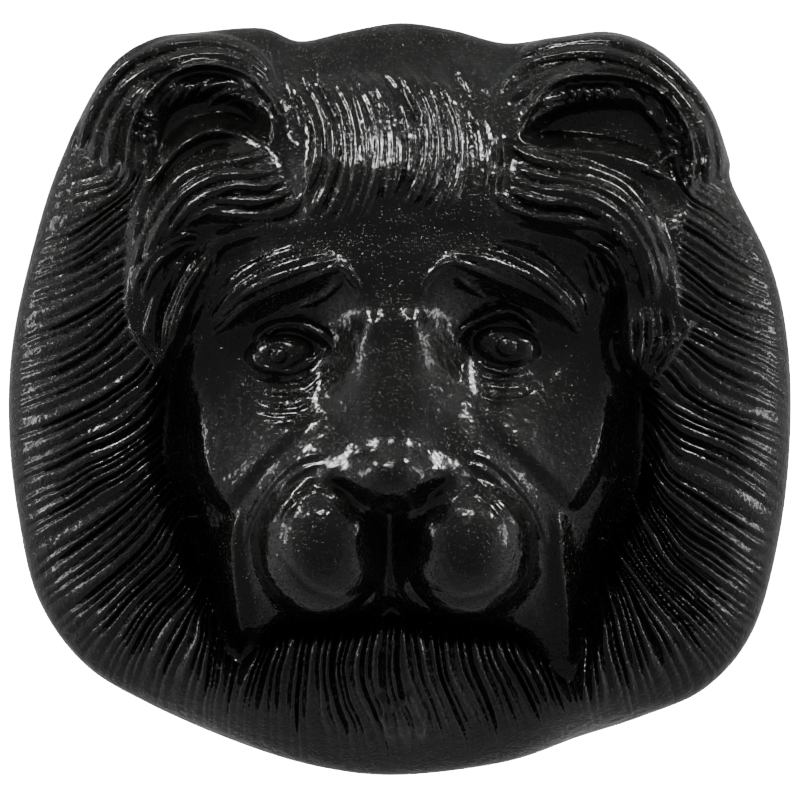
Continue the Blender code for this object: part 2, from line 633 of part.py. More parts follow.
def hair_heights(x, z, edge_gap, face_gap, in_face, in_temple):
    """The mane's smooth body, its valley beside the face, and its strands."""
    middle = at(HAIR_MIDDLE)
    angle = np.abs(np.degrees(np.arctan2(x - middle[0], z - middle[1])))
    valley = np.interp(angle, HAIR_ANGLES, VALLEY_HEIGHT)
    crest = np.interp(angle, HAIR_ANGLES, CREST_HEIGHT)
    power = np.interp(angle, HAIR_ANGLES, FALL_POWER)
    roll = np.interp(angle, HAIR_ANGLES, FACE_ROLL)
    outward = face_gap / (face_gap + np.maximum(edge_gap, 0) + 1e-6)
    outward = np.where(in_face, 0, np.where(edge_gap > 0, outward, 1))
    body = EDGE_HEIGHT + (crest - EDGE_HEIGHT) * (1 - outward**power)

    round_strands, partings = mane_strands(x, z)
    beside = ease((angle - MANE_FROM) / MANE_FADE) * (1 - ease(in_temple / TEMPLE_HEM))
    tip_gap = face_gap - STRAND_TIP * (1 - round_strands) * beside
    body = valley + (body - valley) * rolled(tip_gap / CREST_ROLL)
    edge = np.clip(1 - edge_gap / EDGE_ROUNDING, 0, 1)
    body = body - EDGE_ROUNDING * (1 - np.sqrt(1 - 0.98 * edge**2))

    depth = STRAND_DEPTH * (round_strands - 1) + PARTING_DEPTH * (partings - 1)
    calm = CALM_SHARE + (1 - CALM_SHARE) * ease((edge_gap - CALM_EDGE) / (2 * CALM_EDGE))
    return body, valley, roll, depth * beside * calm * ease(edge_gap / 3) * ~in_face


def carve_face(carving):
    carving.plateaus(*CHEEK_PADS)
    carving.ridges(*JOWLS)
    carving.eggs(*MUZZLE_BALLS)
    carving.ridges(*LIPS)
    carving.plateaus(*NOSE_PAD)
    carving.swellings(*NOSE_TIP)
    carving.swellings(*NOSE_LOBES)
    carving.ridges(*PHILTRUM)
    carving.swellings(*NOSTRILS)
    carving.swellings(*FROWN)
    carving.eggs(*EYEBALLS)
    carving.irises(*IRISES)
    for strands in (BROWS, UPPER_LIDS, LOWER_LIDS):
        carving.strands(*strands)


def carve_head(carving):
    carving.swellings(*CHIN)
    for lock in LOCK_BODIES:
        carving.lock(*lock)
    carving.hollows(*EAR_HOLLOWS)
    carving.ridges(*EAR_RIMS)
    carving.ridges(*GULLIES)
    for strands in (EAR_SURROUNDS, TEMPLES, TEMPLE_HEMS, CURLS, TUFT_CAPS, FORELOCK, FORELOCK_MIDDLE):
        carving.strands(*strands)


def relief(x, z):
    """Height of the mask's face above the wall at each point, in millimetres."""
    outline = smooth_curve(OUTLINE, closed=True)
    face_edge = smooth_curve(FACE_EDGE, closed=True, steps=4)
    edge_gap, _ = nearest_on(outline, x, z, closed=True)
    edge_gap = np.where(is_inside(outline, x, z), edge_gap, 0)
    face_gap, _ = nearest_on(face_edge, x, z, closed=True)
    in_face = is_inside(face_edge, x, z)
    in_temple = depth_in_temples(x, z)
    hair, valley, roll, strands = hair_heights(x, z, edge_gap, face_gap, in_face, in_temple)

    carving = Carving(x, z, soft_surface(x, z, FACE_POSTS, FACE_SLACK))
    carve_face(carving)
    dropped = valley + (carving.height - valley) * rolled(face_gap / roll)
    lowered = TEMPLE_DROP * ease(in_temple / TEMPLE_SLOPE) * ease(face_gap / TEMPLE_SLOPE)
    carving.height = np.where(in_face, dropped, hair - lowered)
    carve_head(carving)
    return carving.height + strands * carving.bare


def spread(u, v, margin=0.0):
    """Maps the square from -1 to 1 onto the outline, so that the square's edge lies on it."""
    outline = smooth_curve(OUTLINE, closed=True, steps=12)
    looped = np.vstack([outline, outline[:1]])
    passed = np.concatenate([[0], np.cumsum(np.hypot(*np.diff(looped, axis=0).T))])
    total = passed[-1]
    stops = [passed[np.hypot(*(outline - at(stop)).T).argmin()] for stop in OUTLINE_STOPS]
    stops.append(stops[0])
    for i in range(1, len(stops)):
        while stops[i] <= stops[i - 1]:
            stops[i] += total
    reach = np.maximum(np.abs(u), np.abs(v))
    safe = np.where(reach > 0, reach, 1)
    across = u / safe
    up = v / safe
    bottom_or_left = np.where(up <= -1, 2 + (1 - across) / 2, 3 + (up + 1) / 2)
    side = np.where(up >= 1, (across + 1) / 2, np.where(across >= 1, 1 + (1 - up) / 2, bottom_or_left))
    place = np.interp(side % 4, np.linspace(0, 4, len(stops)), stops) % total
    edge_x = np.interp(place, passed, looped[:, 0])
    edge_z = np.interp(place, passed, looped[:, 1])
    middle = at(OUTLINE_MIDDLE)
    share = 1 - margin / np.hypot(edge_x - middle[0], edge_z - middle[1])
    x = middle[0] + reach * share * (edge_x - middle[0])
    z = middle[1] + reach * share * (edge_z - middle[1])
    return x, z


def object_from(mesh, name, collection):
    obj = bpy.data.objects.new(name, mesh)
    collection.objects.link(obj)
    return obj


def slab(name, x, z, front, back, collection, cells):
    """A closed block: a grid bent to the heights in front, and closed by a flat back."""
    shape = bmesh.new()
    bmesh.ops.create_grid(shape, x_segments=cells[0], y_segments=cells[1], size=1)
    for vertex, px, pz, height in zip(shape.verts, x, z, front):
        vertex.co = (px * MM, -height * MM, pz * MM)
    rim = [edge for edge in shape.edges if edge.is_boundary]
    walls = bmesh.ops.extrude_edge_only(shape, edges=rim)["geom"]
    for vertex in walls:
        if isinstance(vertex, bmesh.types.BMVert):
            vertex.co.y = back * MM
    open_edges = [edge for edge in walls if isinstance(edge, bmesh.types.BMEdge) and edge.is_boundary]
    bmesh.ops.contextual_create(shape, geom=open_edges)
    bmesh.ops.recalc_face_normals(shape, faces=shape.faces)
    mesh = bpy.data.meshes.new(name)
    shape.to_mesh(mesh)
    shape.free()
    return object_from(mesh, name, collection)


def unit_grid(cells):
    """Coordinates of create_grid's vertices, from -1 to 1, in their order."""
    shape = bmesh.new()
    bmesh.ops.create_grid(shape, x_segments=cells[0], y_segments=cells[1], size=1)
    points = np.array([vertex.co[:2] for vertex in shape.verts])
    shape.free()
    return points[:, 0], points[:, 1]


def make_casting(collection):
    """The carved solid, before its back is cut flat and hollowed."""
    cells = (GRID_CELLS, GRID_CELLS)
    u, v = unit_grid(cells)
    x, z = spread(u, v)
    inner_x, inner_z = spread(u, v, margin=EDGE_MARGIN)
    height = np.maximum(relief(inner_x, inner_z), EDGE_HEIGHT - EDGE_ROUNDING)
    mask = slab("lion_mask", x, z, height, WALL, collection, cells)
    triangles = sum(len(face.vertices) - 2 for face in mask.data.polygons)
    reduce = mask.modifiers.new("reduce the carving", "DECIMATE")
    reduce.ratio = CARVING_TRIANGLES / triangles
    return mask


def hollow_height(x, z, cells):
    """Height of the hollow's ceiling: the lowest carving close by, less the wall, and smoothed."""
    lowest = relief(x, z)
    for turn in range(WALL_PROBES):
        angle = math.tau * turn / WALL_PROBES
        lowest = np.minimum(lowest, relief(x + WALL * math.cos(angle), z + WALL * math.sin(angle)))
    rows = np.pad(lowest.reshape(cells[1] + 1, cells[0] + 1), 1, mode="edge")
    columns = (rows[:-2] + 2 * rows[1:-1] + rows[2:]) / 4
    smoothed = (columns[:, :-2] + 2 * columns[:, 1:-1] + columns[:, 2:]) / 4
    return np.minimum(smoothed.ravel(), lowest) - WALL


def make_chamber(name, low, high, collection, bosses):
    """The hollow above or below the web, between two heights on the drawing's square."""
    cells = (2 * CHAMBER_CELLS, CHAMBER_CELLS)
    u, v = unit_grid(cells)
    x, z = spread(u, low + (high - low) * (v + 1) / 2, margin=RIM_WIDTH)
    web_edge = math.copysign(WEB_HEIGHT / 2, low + high)
    z = np.where(np.abs(v - (-1 if low + high > 0 else 1)) < 1e-6, web_edge, z)
    chamber = slab(name, x, z, hollow_height(x, z, cells), WALL, collection, cells)
    for boss in bosses:
        cut(chamber, boss)
    return chamber


def make_post(name, radius, front, side, collection):
    """A round post across the back at one of the bosses, from behind the wall plane."""
    length = front + WALL
    shape = bmesh.new()
    thickness = radius * MM
    bmesh.ops.create_cone(
        shape,
        cap_ends=True,
        segments=POST_SEGMENTS,
        radius1=thickness,
        radius2=thickness,
        depth=length * MM,
    )
    mesh = bpy.data.meshes.new(name)
    shape.to_mesh(mesh)
    shape.free()
    post = object_from(mesh, name, collection)
    post.location = (side * BOSS_OFFSET * MM, (WALL - length / 2) * MM, 0)
    post.rotation_euler = (math.radians(90), 0, 0)
    return post


def cut(target, cutter):
    modifier = target.modifiers.new(f"cut {cutter.name}", "BOOLEAN")
    modifier.operation = "DIFFERENCE"
    modifier.solver = "EXACT"
    modifier.object = cutter


def hide(cutter):
    cutter.hide_render = True
    cutter.display_type = "WIRE"


def enamel():
    """Black gloss paint on iron."""
    material = bpy.data.materials.new("black_enamel")
    material.use_nodes = True
    shader = material.node_tree.nodes["Principled BSDF"]
    shader.inputs["Base Color"].default_value = ENAMEL_COLOUR
    shader.inputs["Roughness"].default_value = ENAMEL_ROUGHNESS
    shader.inputs["Metallic"].default_value = 0.0
    return material


def main():
    for obj in list(bpy.data.objects):
        bpy.data.objects.remove(obj)
    parts = bpy.data.collections.new("lion head wall mask")
    cutters = bpy.data.collections.new("cutters")
    for collection in (parts, cutters):
        bpy.context.scene.collection.children.link(collection)

    mask = make_casting(parts)
    behind = object_from(bpy.data.meshes.new("wall_plane"), "wall_plane", cutters)
    box = bmesh.new()
    bmesh.ops.create_cube(box, size=2 * MASK_WIDTH * MM)
    box.to_mesh(behind.data)
    box.free()
    behind.location.y = MASK_WIDTH * MM
    sides = (("left", -1), ("right", 1))
    bosses = [make_post(f"boss_{name}", BOSS_RADIUS, MASK_WIDTH, side, cutters) for name, side in sides]
    web = WEB_HEIGHT / MASK_WIDTH
    chambers = [
        make_chamber("chamber_upper", web, 1.0, cutters, bosses),
        make_chamber("chamber_lower", -1.0, -web, cutters, bosses),
    ]
    holes = [make_post(f"hole_{name}", HOLE_RADIUS, HOLE_DEPTH, side, cutters) for name, side in sides]
    for cutter in (behind, *chambers, *holes):
        cut(mask, cutter)
    for cutter in (behind, *bosses, *chambers, *holes):
        hide(cutter)
    mask.data.materials.append(enamel())
    mask.data.shade_smooth()
    mask.data.set_sharp_from_angle(angle=math.radians(SHARP_DEGREES))


if __name__ == "__main__":
    main()
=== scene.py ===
"""Lion head wall mask: a black enamelled iron casting with a full mane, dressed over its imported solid.

The carving is laid out on a square drawing 800 units wide, with x to the right and y down. Heights
above the wall, half widths and depths of the carving and the sizes of the hollow back are millimetres;
the sizes of the studio and of the enamel's grain are metres.
"""

import math

import bpy
import numpy as np
from bpy.props import FloatProperty, FloatVectorProperty, IntProperty, PointerProperty
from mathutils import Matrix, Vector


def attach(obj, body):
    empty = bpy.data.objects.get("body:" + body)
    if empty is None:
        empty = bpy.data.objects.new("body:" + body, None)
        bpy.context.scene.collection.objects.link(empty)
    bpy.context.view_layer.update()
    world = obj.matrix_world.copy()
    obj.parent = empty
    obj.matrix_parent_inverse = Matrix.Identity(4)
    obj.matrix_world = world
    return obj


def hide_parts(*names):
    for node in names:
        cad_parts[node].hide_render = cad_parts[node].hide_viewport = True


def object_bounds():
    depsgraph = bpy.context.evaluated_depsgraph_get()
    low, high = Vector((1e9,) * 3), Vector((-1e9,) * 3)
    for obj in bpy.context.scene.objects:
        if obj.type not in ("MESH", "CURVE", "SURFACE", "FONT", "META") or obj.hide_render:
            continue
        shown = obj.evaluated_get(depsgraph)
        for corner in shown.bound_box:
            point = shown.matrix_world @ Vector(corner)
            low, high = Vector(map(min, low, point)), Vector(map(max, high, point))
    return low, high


bl_info = {
    "name": "Lion head wall mask",
    "version": (1, 0, 0),
    "blender": (4, 5, 0),
    "location": "View3D > Sidebar > Lion mask",
    "description": "Carves a lion head wall mask, enamels it and sets it in a plain studio",
    "category": "Add Mesh",
}

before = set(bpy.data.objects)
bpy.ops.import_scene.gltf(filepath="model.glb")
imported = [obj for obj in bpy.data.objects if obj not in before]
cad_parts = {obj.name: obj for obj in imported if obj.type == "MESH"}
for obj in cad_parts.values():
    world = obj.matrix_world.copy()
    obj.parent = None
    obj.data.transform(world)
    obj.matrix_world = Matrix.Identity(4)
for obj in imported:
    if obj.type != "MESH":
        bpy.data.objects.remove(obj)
CAD_LOW, CAD_HIGH = (tuple(corner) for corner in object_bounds())
MASK_NODE = "lion_mask"

MM = 0.001
MASK_WIDTH = (CAD_HIGH[0] - CAD_LOW[0]) / MM
MASK_WIDTH_ON_DRAWING = 780.0
DRAWING_CENTRE = 400.0
UNIT = MASK_WIDTH / MASK_WIDTH_ON_DRAWING

EDGE_HEIGHT = 9.0
EDGE_ROUNDING = 4.0
WALL = 6.5
RIM_WIDTH = 8.5
WEB_HEIGHT = 10.0
BOSS_RADIUS = 9.0
BOSS_OFFSET = 42.0
HOLE_RADIUS = 3.4
HOLE_DEPTH = 14.0
CHAMBER_CELLS = 24
CELL_MARGIN = 0.05
WALL_PROBES = 8
POST_SIDES = 48
WELD_GAP = 0.01
SMOOTH_ANGLE = 60
KEEP_CLEAR = 1.0
TINY = 1e-6

# Outlines on the drawing, clockwise
OUTLINE = (
    (400, 24), (452, 31), (505, 44), (556, 38), (612, 33), (662, 54), (706, 102), (728, 158), (732, 186),
    (770, 265), (787, 345), (789, 440), (778, 537), (752, 630), (705, 687), (640, 716), (578, 736),
    (505, 761), (400, 774), (320, 766), (240, 742), (150, 703), (85, 663), (40, 600), (20, 520),
    (10, 430), (14, 340), (36, 240), (62, 160), (105, 76), (150, 41), (200, 33), (262, 29), (300, 42),
    (345, 33),
)
# Points of the outline that the corners and the middles of a square grid's sides are drawn to
OUTLINE_STOPS = (
    (118, 62), (400, 24), (693, 84), (789, 400), (716, 677), (400, 774), (92, 671), (11, 400),
)
OUTLINE_MIDDLE = (393, 400)
FACE_EDGE = (
    (395, 232), (450, 228), (505, 226), (545, 232), (580, 246), (606, 270), (616, 300), (612, 330),
    (618, 360), (636, 384), (641, 410), (641, 445), (636, 485), (622, 515), (606, 545), (597, 590),
    (584, 635), (570, 680), (548, 662), (530, 645), (505, 632), (467, 627), (427, 620), (392, 612),
    (355, 620), (320, 626), (290, 628), (262, 642), (240, 660), (226, 645), (212, 600), (200, 565),
    (188, 530), (174, 489), (165, 455), (166, 415), (170, 385), (182, 352), (192, 325), (202, 296),
    (224, 258), (252, 242), (300, 236), (345, 234),
)

# Plateaus: rise, width of their soft sides, height over which the top fades, outlines
NOSE_PAD = (
    4.4, 6.0, 13.0,
    (
        (
            (322, 474), (327, 460), (342, 450), (364, 446), (390, 446), (414, 446), (438, 450),
            (455, 460), (462, 472), (455, 485), (438, 495), (415, 499), (390, 499), (365, 498),
            (344, 492), (328, 484),
        ),
    ),
)
CHEEK_PADS = (
    3.5, 5.0, 36.0,
    (
        (
            (202, 372), (198, 410), (201, 450), (211, 482), (228, 505), (244, 490), (268, 460),
            (298, 432), (312, 405), (290, 395), (240, 385),
        ),
        (
            (598, 366), (606, 392), (606, 425), (597, 460), (584, 487), (570, 503), (552, 487),
            (525, 460), (496, 434), (480, 405), (505, 390), (550, 378),
        ),
    ),
)

# Hollows of the ears: height of their floor, width of their soft sides, outlines
EAR_HOLLOWS = (
    17.0, 7.0,
    (
        (
            (150, 184), (143, 150), (149, 118), (166, 96), (196, 84), (230, 84), (256, 95), (272, 120),
            (272, 150), (246, 142), (216, 136), (190, 148), (168, 172),
        ),
        (
            (516, 140), (530, 114), (556, 98), (598, 91), (636, 95), (662, 112), (678, 142), (680, 190),
            (656, 176), (612, 162), (570, 156), (534, 154),
        ),
    ),
)

# Where the temple locks lie over the mane
TEMPLE_AREAS = (
    (
        (133, 196), (131, 230), (127, 262), (125, 292), (128, 325), (143, 348), (160, 370), (176, 392),
        (205, 385), (235, 330), (262, 285), (310, 262), (312, 200), (300, 150), (262, 128), (200, 128),
        (156, 160),
    ),
    (
        (686, 196), (681, 235), (677, 270), (679, 305), (686, 330), (675, 350), (661, 374), (646, 388),
        (620, 400), (585, 360), (572, 310), (545, 275), (490, 258), (486, 200), (490, 150), (530, 140),
        (640, 160),
    ),
)

# Heights of the hair, keyed by the angle from straight up around the middle of the head
HAIR_MIDDLE = (393, 430)
HAIR_ANGLES = (0, 20, 38, 60, 90, 130, 155, 180)
VALLEY_HEIGHT = (46, 44, 36, 25, 18, 17, 24, 33)
CREST_HEIGHT = (46, 44.5, 39, 34, 30, 28, 32, 42)
FALL_POWER = (1.5, 1.5, 1.6, 1.9, 2.2, 2.2, 1.8, 1.6)
FACE_ROLL = (8, 7, 4, 6, 8, 9, 6, 4)
CREST_ROLL = 5.0
SHOULDER = 2.2
EDGE_ROUNDNESS = 0.98
MANE_FROM = 38.0
MANE_FADE = 14.0
CALM_EDGE = 6.0
CALM_SHARE = 0.35

# Strands of the mane: running number around the head, and the way from the face to the edge
MANE_STRANDS = (
    (-3, ((118, 182), (92, 192), (62, 198), (44, 202))),
    (0, ((124, 203), (100, 220), (75, 235), (38, 246))),
    (3, ((128, 225), (116, 234), (94, 252), (70, 266), (30, 280))),
    (5, ((133, 250), (112, 262), (87, 276), (53, 290), (24, 300))),
    (7.4, ((130, 282), (109, 297), (87, 309), (62, 320), (18, 336))),
    (10, ((128, 303), (116, 314), (100, 328), (75, 344), (14, 366))),
    (14, ((141, 345), (128, 358), (94, 381), (52, 400), (12, 415))),
    (18, ((165, 366), (157, 382), (134, 402), (91, 428), (50, 448), (12, 464))),
    (20.7, ((167, 400), (156, 420), (134, 438), (109, 452), (70, 472), (14, 500))),
    (23.4, ((163, 436), (142, 453), (97, 479), (57, 503), (19, 524))),
    (26.5, ((166, 460), (151, 474), (119, 500), (82, 525), (28, 566))),
    (32, ((178, 500), (166, 516), (140, 550), (112, 575), (80, 600), (48, 626))),
    (36, ((187, 530), (179, 550), (159, 574), (131, 601), (105, 632), (82, 664))),
    (39, ((195, 550), (188, 568), (170, 590), (151, 610), (135, 635), (112, 686))),
    (42, ((202, 572), (194, 590), (176, 610), (160, 632), (148, 658), (136, 700))),
    (45.5, ((210, 598), (201, 632), (186, 672), (176, 716))),
    (48, ((217, 608), (215, 636), (209, 675), (202, 728))),
    (50.5, ((228, 640), (226, 665), (221, 695), (217, 735))),
    (54, ((262, 648), (252, 672), (244, 703), (242, 744))),
    (57.5, ((287, 634), (278, 665), (274, 703), (276, 756))),
    (60.3, ((310, 630), (304, 670), (301, 710), (303, 764))),
    (62.2, ((326, 628), (319, 665), (320, 710), (327, 768))),
    (64, ((340, 626), (333, 662), (337, 694), (347, 722), (352, 772))),
    (66, ((354, 624), (345, 662), (351, 696), (364, 726), (373, 776))),
    (68.5, ((375, 618), (367, 660), (375, 700), (388, 735), (394, 778))),
    (71, ((392, 616), (389, 660), (397, 700), (410, 735), (416, 776))),
    (73.7, ((412, 620), (416, 655), (427, 695), (440, 735), (445, 773))),
    (76.2, ((434, 626), (440, 668), (453, 700), (466, 732), (471, 768))),
    (79.2, ((460, 630), (466, 668), (480, 700), (491, 735), (495, 763))),
    (83, ((492, 636), (507, 672), (521, 705), (532, 735), (535, 752))),
    (86.5, ((525, 650), (541, 680), (554, 710), (561, 742))),
    (89.2, ((562, 680), (568, 698), (575, 718), (581, 738))),
    (91.5, ((582, 640), (580, 675), (585, 705), (592, 733))),
    (93.6, ((594, 605), (597, 640), (604, 682), (613, 726))),
    (97, ((602, 570), (611, 597), (620, 632), (632, 672), (645, 716))),
    (101, ((608, 552), (630, 583), (648, 615), (668, 655), (684, 702))),
    (104, ((615, 535), (631, 563), (652, 590), (682, 622), (708, 656), (722, 680))),
    (109, ((628, 510), (646, 547), (664, 572), (695, 599), (726, 630), (748, 652))),
    (111.5, ((636, 494), (656, 534), (683, 568), (714, 594), (760, 628))),
    (116, ((640, 470), (656, 500), (680, 528), (712, 550), (745, 575), (775, 598))),
    (119, ((641, 448), (655, 475), (684, 502), (715, 523), (746, 545), (782, 566))),
    (122.5, ((642, 410), (656, 428), (690, 455), (720, 471), (748, 490), (788, 520))),
    (126, ((644, 386), (662, 402), (690, 420), (725, 434), (752, 448), (790, 470))),
    (128, ((664, 378), (680, 396), (705, 410), (735, 422), (790, 446))),
    (131.5, ((680, 345), (700, 360), (722, 374), (750, 388), (790, 408))),
    (134.5, ((680, 322), (696, 330), (725, 345), (752, 356), (788, 375))),
    (137.5, ((678, 290), (694, 300), (716, 314), (745, 328), (784, 342))),
    (139.5, ((676, 268), (692, 280), (712, 296), (738, 310), (776, 324))),
    (143, ((674, 236), (690, 246), (712, 262), (735, 276), (768, 290))),
    (147, ((684, 205), (704, 216), (725, 232), (745, 245), (762, 256))),
    (150, ((696, 188), (715, 200), (732, 212), (745, 222))),
)
STRAND_DEPTH = 1.5
PARTING_DEPTH = 1.0
STRANDS_PER_PARTING = 4
STRAND_TIP = 1.3
CREST_FLATNESS = 1.6
CREST_FULLNESS = 0.9
PARTING_SHARPNESS = 7
FULL_DEPTH_FROM = 3
STRAND_SLACK = 0.4
UNEVEN_WIDTHS = 0.17
WIDTH_WAVE = 2.3
UNEVEN_FLOW = 0.12
FLOW_WAVE = (0.9, 0.11, 0.07)
TEMPLE_DROP = 3.5
TEMPLE_SLOPE = 7.0
TEMPLE_HEM = 2.0

# Single strands, as shares of their width and rise unless named as a length or a pace
TAPER_LENGTH = 6.0
TIP_WIDTH = 0.45
TIP_FALL = 0.6
STRAND_FULLNESS = 0.9
STRAND_REACH = 1.6
SWELL = 0.14
SWELL_PACE = 11
SWELL_START = 2.4
FINE_LINE = 0.12
FINE_LINE_PLACE = 0.42
FINE_LINE_WIDTH = 0.16

# Rounded bodies of locks, as shares of their length and rise
BODY_TAPER = 0.3
BODY_FULLNESS = 1.2
BODY_REACH = 1.1

# Heights of the bare face at points of the drawing
FACE_SLACK = 6.0
FACE_POSTS = (
    ((392, 236), 45), ((320, 238), 43), ((465, 236), 43), ((250, 250), 34), ((540, 244), 34),
    ((392, 280), 46.5), ((392, 318), 49.5), ((352, 276), 47), ((318, 262), 44), ((275, 268), 39),
    ((236, 300), 34), ((214, 340), 29), ((431, 276), 47), ((465, 260), 44), ((510, 262), 39),
    ((552, 298), 34), ((578, 335), 29), ((335, 305), 40), ((300, 316), 34), ((262, 328), 30),
    ((322, 352), 34), ((240, 352), 28), ((452, 303), 40), ((490, 304), 34), ((530, 322), 30),
    ((468, 348), 34), ((552, 346), 28), ((283, 352), 32), ((504, 346), 32), ((392, 350), 52),
    ((362, 350), 49), ((424, 350), 49), ((392, 400), 56), ((350, 400), 50.5), ((436, 400), 50.5),
    ((391, 440), 59), ((352, 436), 52.5), ((432, 436), 52.5), ((312, 400), 41.5), ((470, 398), 41.5),
    ((285, 405), 38), ((502, 390), 38), ((245, 400), 33), ((545, 390), 33), ((250, 450), 35),
    ((545, 440), 35), ((290, 425), 41.5), ((500, 418), 41.5), ((205, 400), 28), ((600, 395), 28),
    ((205, 470), 27), ((595, 460), 27), ((178, 420), 20), ((628, 420), 20), ((228, 520), 28),
    ((572, 515), 28), ((318, 450), 50.5), ((466, 448), 50.5), ((285, 480), 47), ((500, 478), 47),
    ((258, 520), 37), ((532, 520), 37), ((389, 475), 58), ((389, 500), 52), ((389, 540), 47),
    ((389, 590), 41), ((250, 570), 30), ((540, 570), 30), ((235, 620), 24), ((560, 620), 24),
    ((238, 650), 20), ((570, 670), 20), ((340, 615), 36), ((440, 615), 36), ((390, 612), 36),
    ((285, 622), 30), ((505, 625), 30),
)

# Rounded bodies of locks: path, half widths along it, rise
LOCK_BODIES = (
    (
        ((300, 180), (262, 184), (225, 188), (190, 203), (165, 235), (152, 275), (150, 315), (160, 350)),
        (13, 13, 12, 10, 8.5, 7.5, 6.5, 5), 5.5,
    ),
    (
        ((490, 182), (535, 190), (575, 198), (612, 214), (638, 242), (652, 280), (654, 310), (652, 340)),
        (13, 13, 12, 10, 8.5, 7.5, 7.5, 6), 5.5,
    ),
    (((218, 250), (202, 280), (188, 315), (174, 356)), (5, 8, 7, 4), 3.6),
    (((594, 246), (606, 268), (614, 300)), (5, 8, 5), 2.0),
    (((638, 300), (636, 334), (630, 376)), (7, 9, 5), 2.6),
    (
        ((362, 292), (347, 277), (320, 274), (284, 283), (247, 303), (214, 332)),
        (3, 6, 7, 7.5, 6.5, 3.5), 2.6,
    ),
    (
        ((423, 292), (438, 277), (464, 271), (505, 277), (545, 294), (580, 330)),
        (3, 6, 7, 7.5, 6.5, 3.5), 2.6,
    ),
    (((376, 60), (382, 110), (380, 160), (374, 215)), (18, 23, 23, 20), 3.4),
)

# Single strands: half width, rise, paths
FORELOCK = (
    2.1, 2.0,
    (
        ((289, 80), (304, 102), (315, 128), (318, 152), (314, 176), (306, 200)),
        ((304, 76), (320, 100), (332, 126), (335, 152), (332, 178), (322, 204), (312, 218)),
        ((318, 74), (333, 98), (343, 124), (347, 152), (345, 182), (336, 208), (326, 222)),
        ((328, 74), (344, 98), (354, 124), (358, 152), (355, 184), (346, 210), (337, 228)),
        ((339, 72), (355, 96), (365, 124), (369, 152), (366, 184), (357, 210), (350, 224)),
        ((349, 70), (366, 96), (376, 124), (380, 152), (376, 184), (366, 210), (358, 226)),
        ((384, 72), (400, 96), (411, 124), (414, 150), (411, 174), (403, 194)),
        ((396, 72), (412, 96), (422, 124), (426, 150), (422, 178), (412, 200), (404, 212)),
        ((408, 74), (424, 98), (434, 126), (437, 152), (434, 180), (424, 204), (416, 216)),
        ((418, 76), (435, 100), (446, 126), (449, 152), (446, 180), (437, 204), (427, 218)),
        ((430, 78), (447, 100), (457, 126), (460, 152), (458, 178), (450, 200), (439, 216)),
        ((468, 108), (478, 130), (483, 152), (484, 174), (480, 196)),
        ((480, 112), (490, 132), (494, 154), (495, 176), (492, 196)),
    ),
)
FORELOCK_MIDDLE = (2.9, 2.6, (((366, 74), (382, 98), (391, 126), (395, 152), (392, 182), (384, 208)),))
CROWN = (
    1.9, 0.8,
    (
        ((405, 28), (397, 46), (397, 64), (406, 80), (420, 92)),
        ((424, 70), (442, 84), (454, 100), (463, 122)), ((330, 52), (322, 66), (324, 82)),
        ((362, 44), (352, 60), (352, 76), (362, 92)),
        ((300, 60), (292, 78), (296, 98), (304, 120), (306, 142)), ((470, 62), (484, 82), (490, 104)),
        ((440, 44), (452, 62), (466, 84), (474, 104)),
    ),
)
TEMPLES = (
    2.0, 2.0,
    (
        ((240, 139), (216, 135), (196, 142), (176, 156), (162, 174), (150, 196), (141, 222), (136, 248)),
        ((272, 156), (242, 163), (218, 167), (194, 173), (174, 188), (158, 212), (146, 242), (137, 270)),
        ((280, 174), (252, 178), (228, 178), (204, 186), (184, 200), (168, 221), (155, 246), (145, 264)),
        ((286, 184), (264, 190), (240, 189), (216, 196), (196, 209), (180, 226), (168, 242)),
        ((294, 194), (272, 203), (248, 205), (222, 206), (203, 216), (188, 230)),
        ((508, 150), (528, 160), (556, 166), (590, 172), (622, 186), (642, 208), (656, 234), (666, 262)),
        ((514, 172), (540, 179), (568, 185), (598, 192), (624, 208), (642, 232), (654, 262), (660, 290)),
        ((512, 184), (540, 193), (572, 197), (600, 207), (622, 224), (638, 248), (648, 276), (652, 302)),
        ((508, 194), (540, 205), (574, 208), (600, 219), (618, 236), (632, 260), (640, 288), (642, 306)),
    ),
)
TEMPLE_HEMS = (
    2.2, 2.8,
    (
        ((304, 198), (292, 210), (270, 217), (240, 219), (214, 217), (196, 226)),
        ((492, 198), (510, 210), (536, 221), (566, 223), (592, 228), (612, 240), (626, 254)),
    ),
)
CURLS = (
    1.5, 1.7,
    (
        ((208, 240), (195, 238), (180, 243), (163, 253), (151, 265), (142, 278), (138, 296)),
        ((203, 244), (186, 248), (171, 257), (160, 268), (151, 284), (147, 302)),
        ((188, 258), (179, 270), (173, 283), (165, 298), (160, 314), (157, 332), (159, 350)),
        ((168, 286), (160, 300), (154, 318), (151, 336), (156, 352)),
        ((198, 260), (190, 272), (183, 285), (176, 300), (170, 316), (166, 334), (165, 356)),
        ((208, 260), (200, 273), (191, 286), (183, 301), (177, 318), (173, 336), (169, 358)),
        ((216, 262), (208, 278), (199, 293), (190, 309), (183, 324), (178, 340), (173, 358)),
        ((224, 254), (216, 271), (207, 288), (198, 305), (190, 321), (185, 337), (178, 356)),
        ((583, 254), (587, 268), (592, 284), (600, 300)),
        ((590, 253), (598, 268), (604, 283), (610, 296)),
        ((598, 254), (606, 266), (612, 280), (617, 294)),
        ((607, 256), (615, 266), (621, 279), (624, 291)),
        ((615, 257), (624, 268), (630, 279), (634, 290)),
        ((611, 336), (611, 350), (616, 364), (625, 376)),
        ((618, 324), (618, 343), (621, 360), (629, 376)),
        ((627, 316), (626, 338), (627, 358), (633, 375)),
        ((637, 312), (638, 334), (637, 354), (636, 373)),
        ((645, 306), (648, 328), (647, 348), (642, 368)),
        ((653, 308), (657, 328), (657, 346), (649, 366)),
        ((661, 306), (667, 324), (667, 340), (658, 358)),
    ),
)
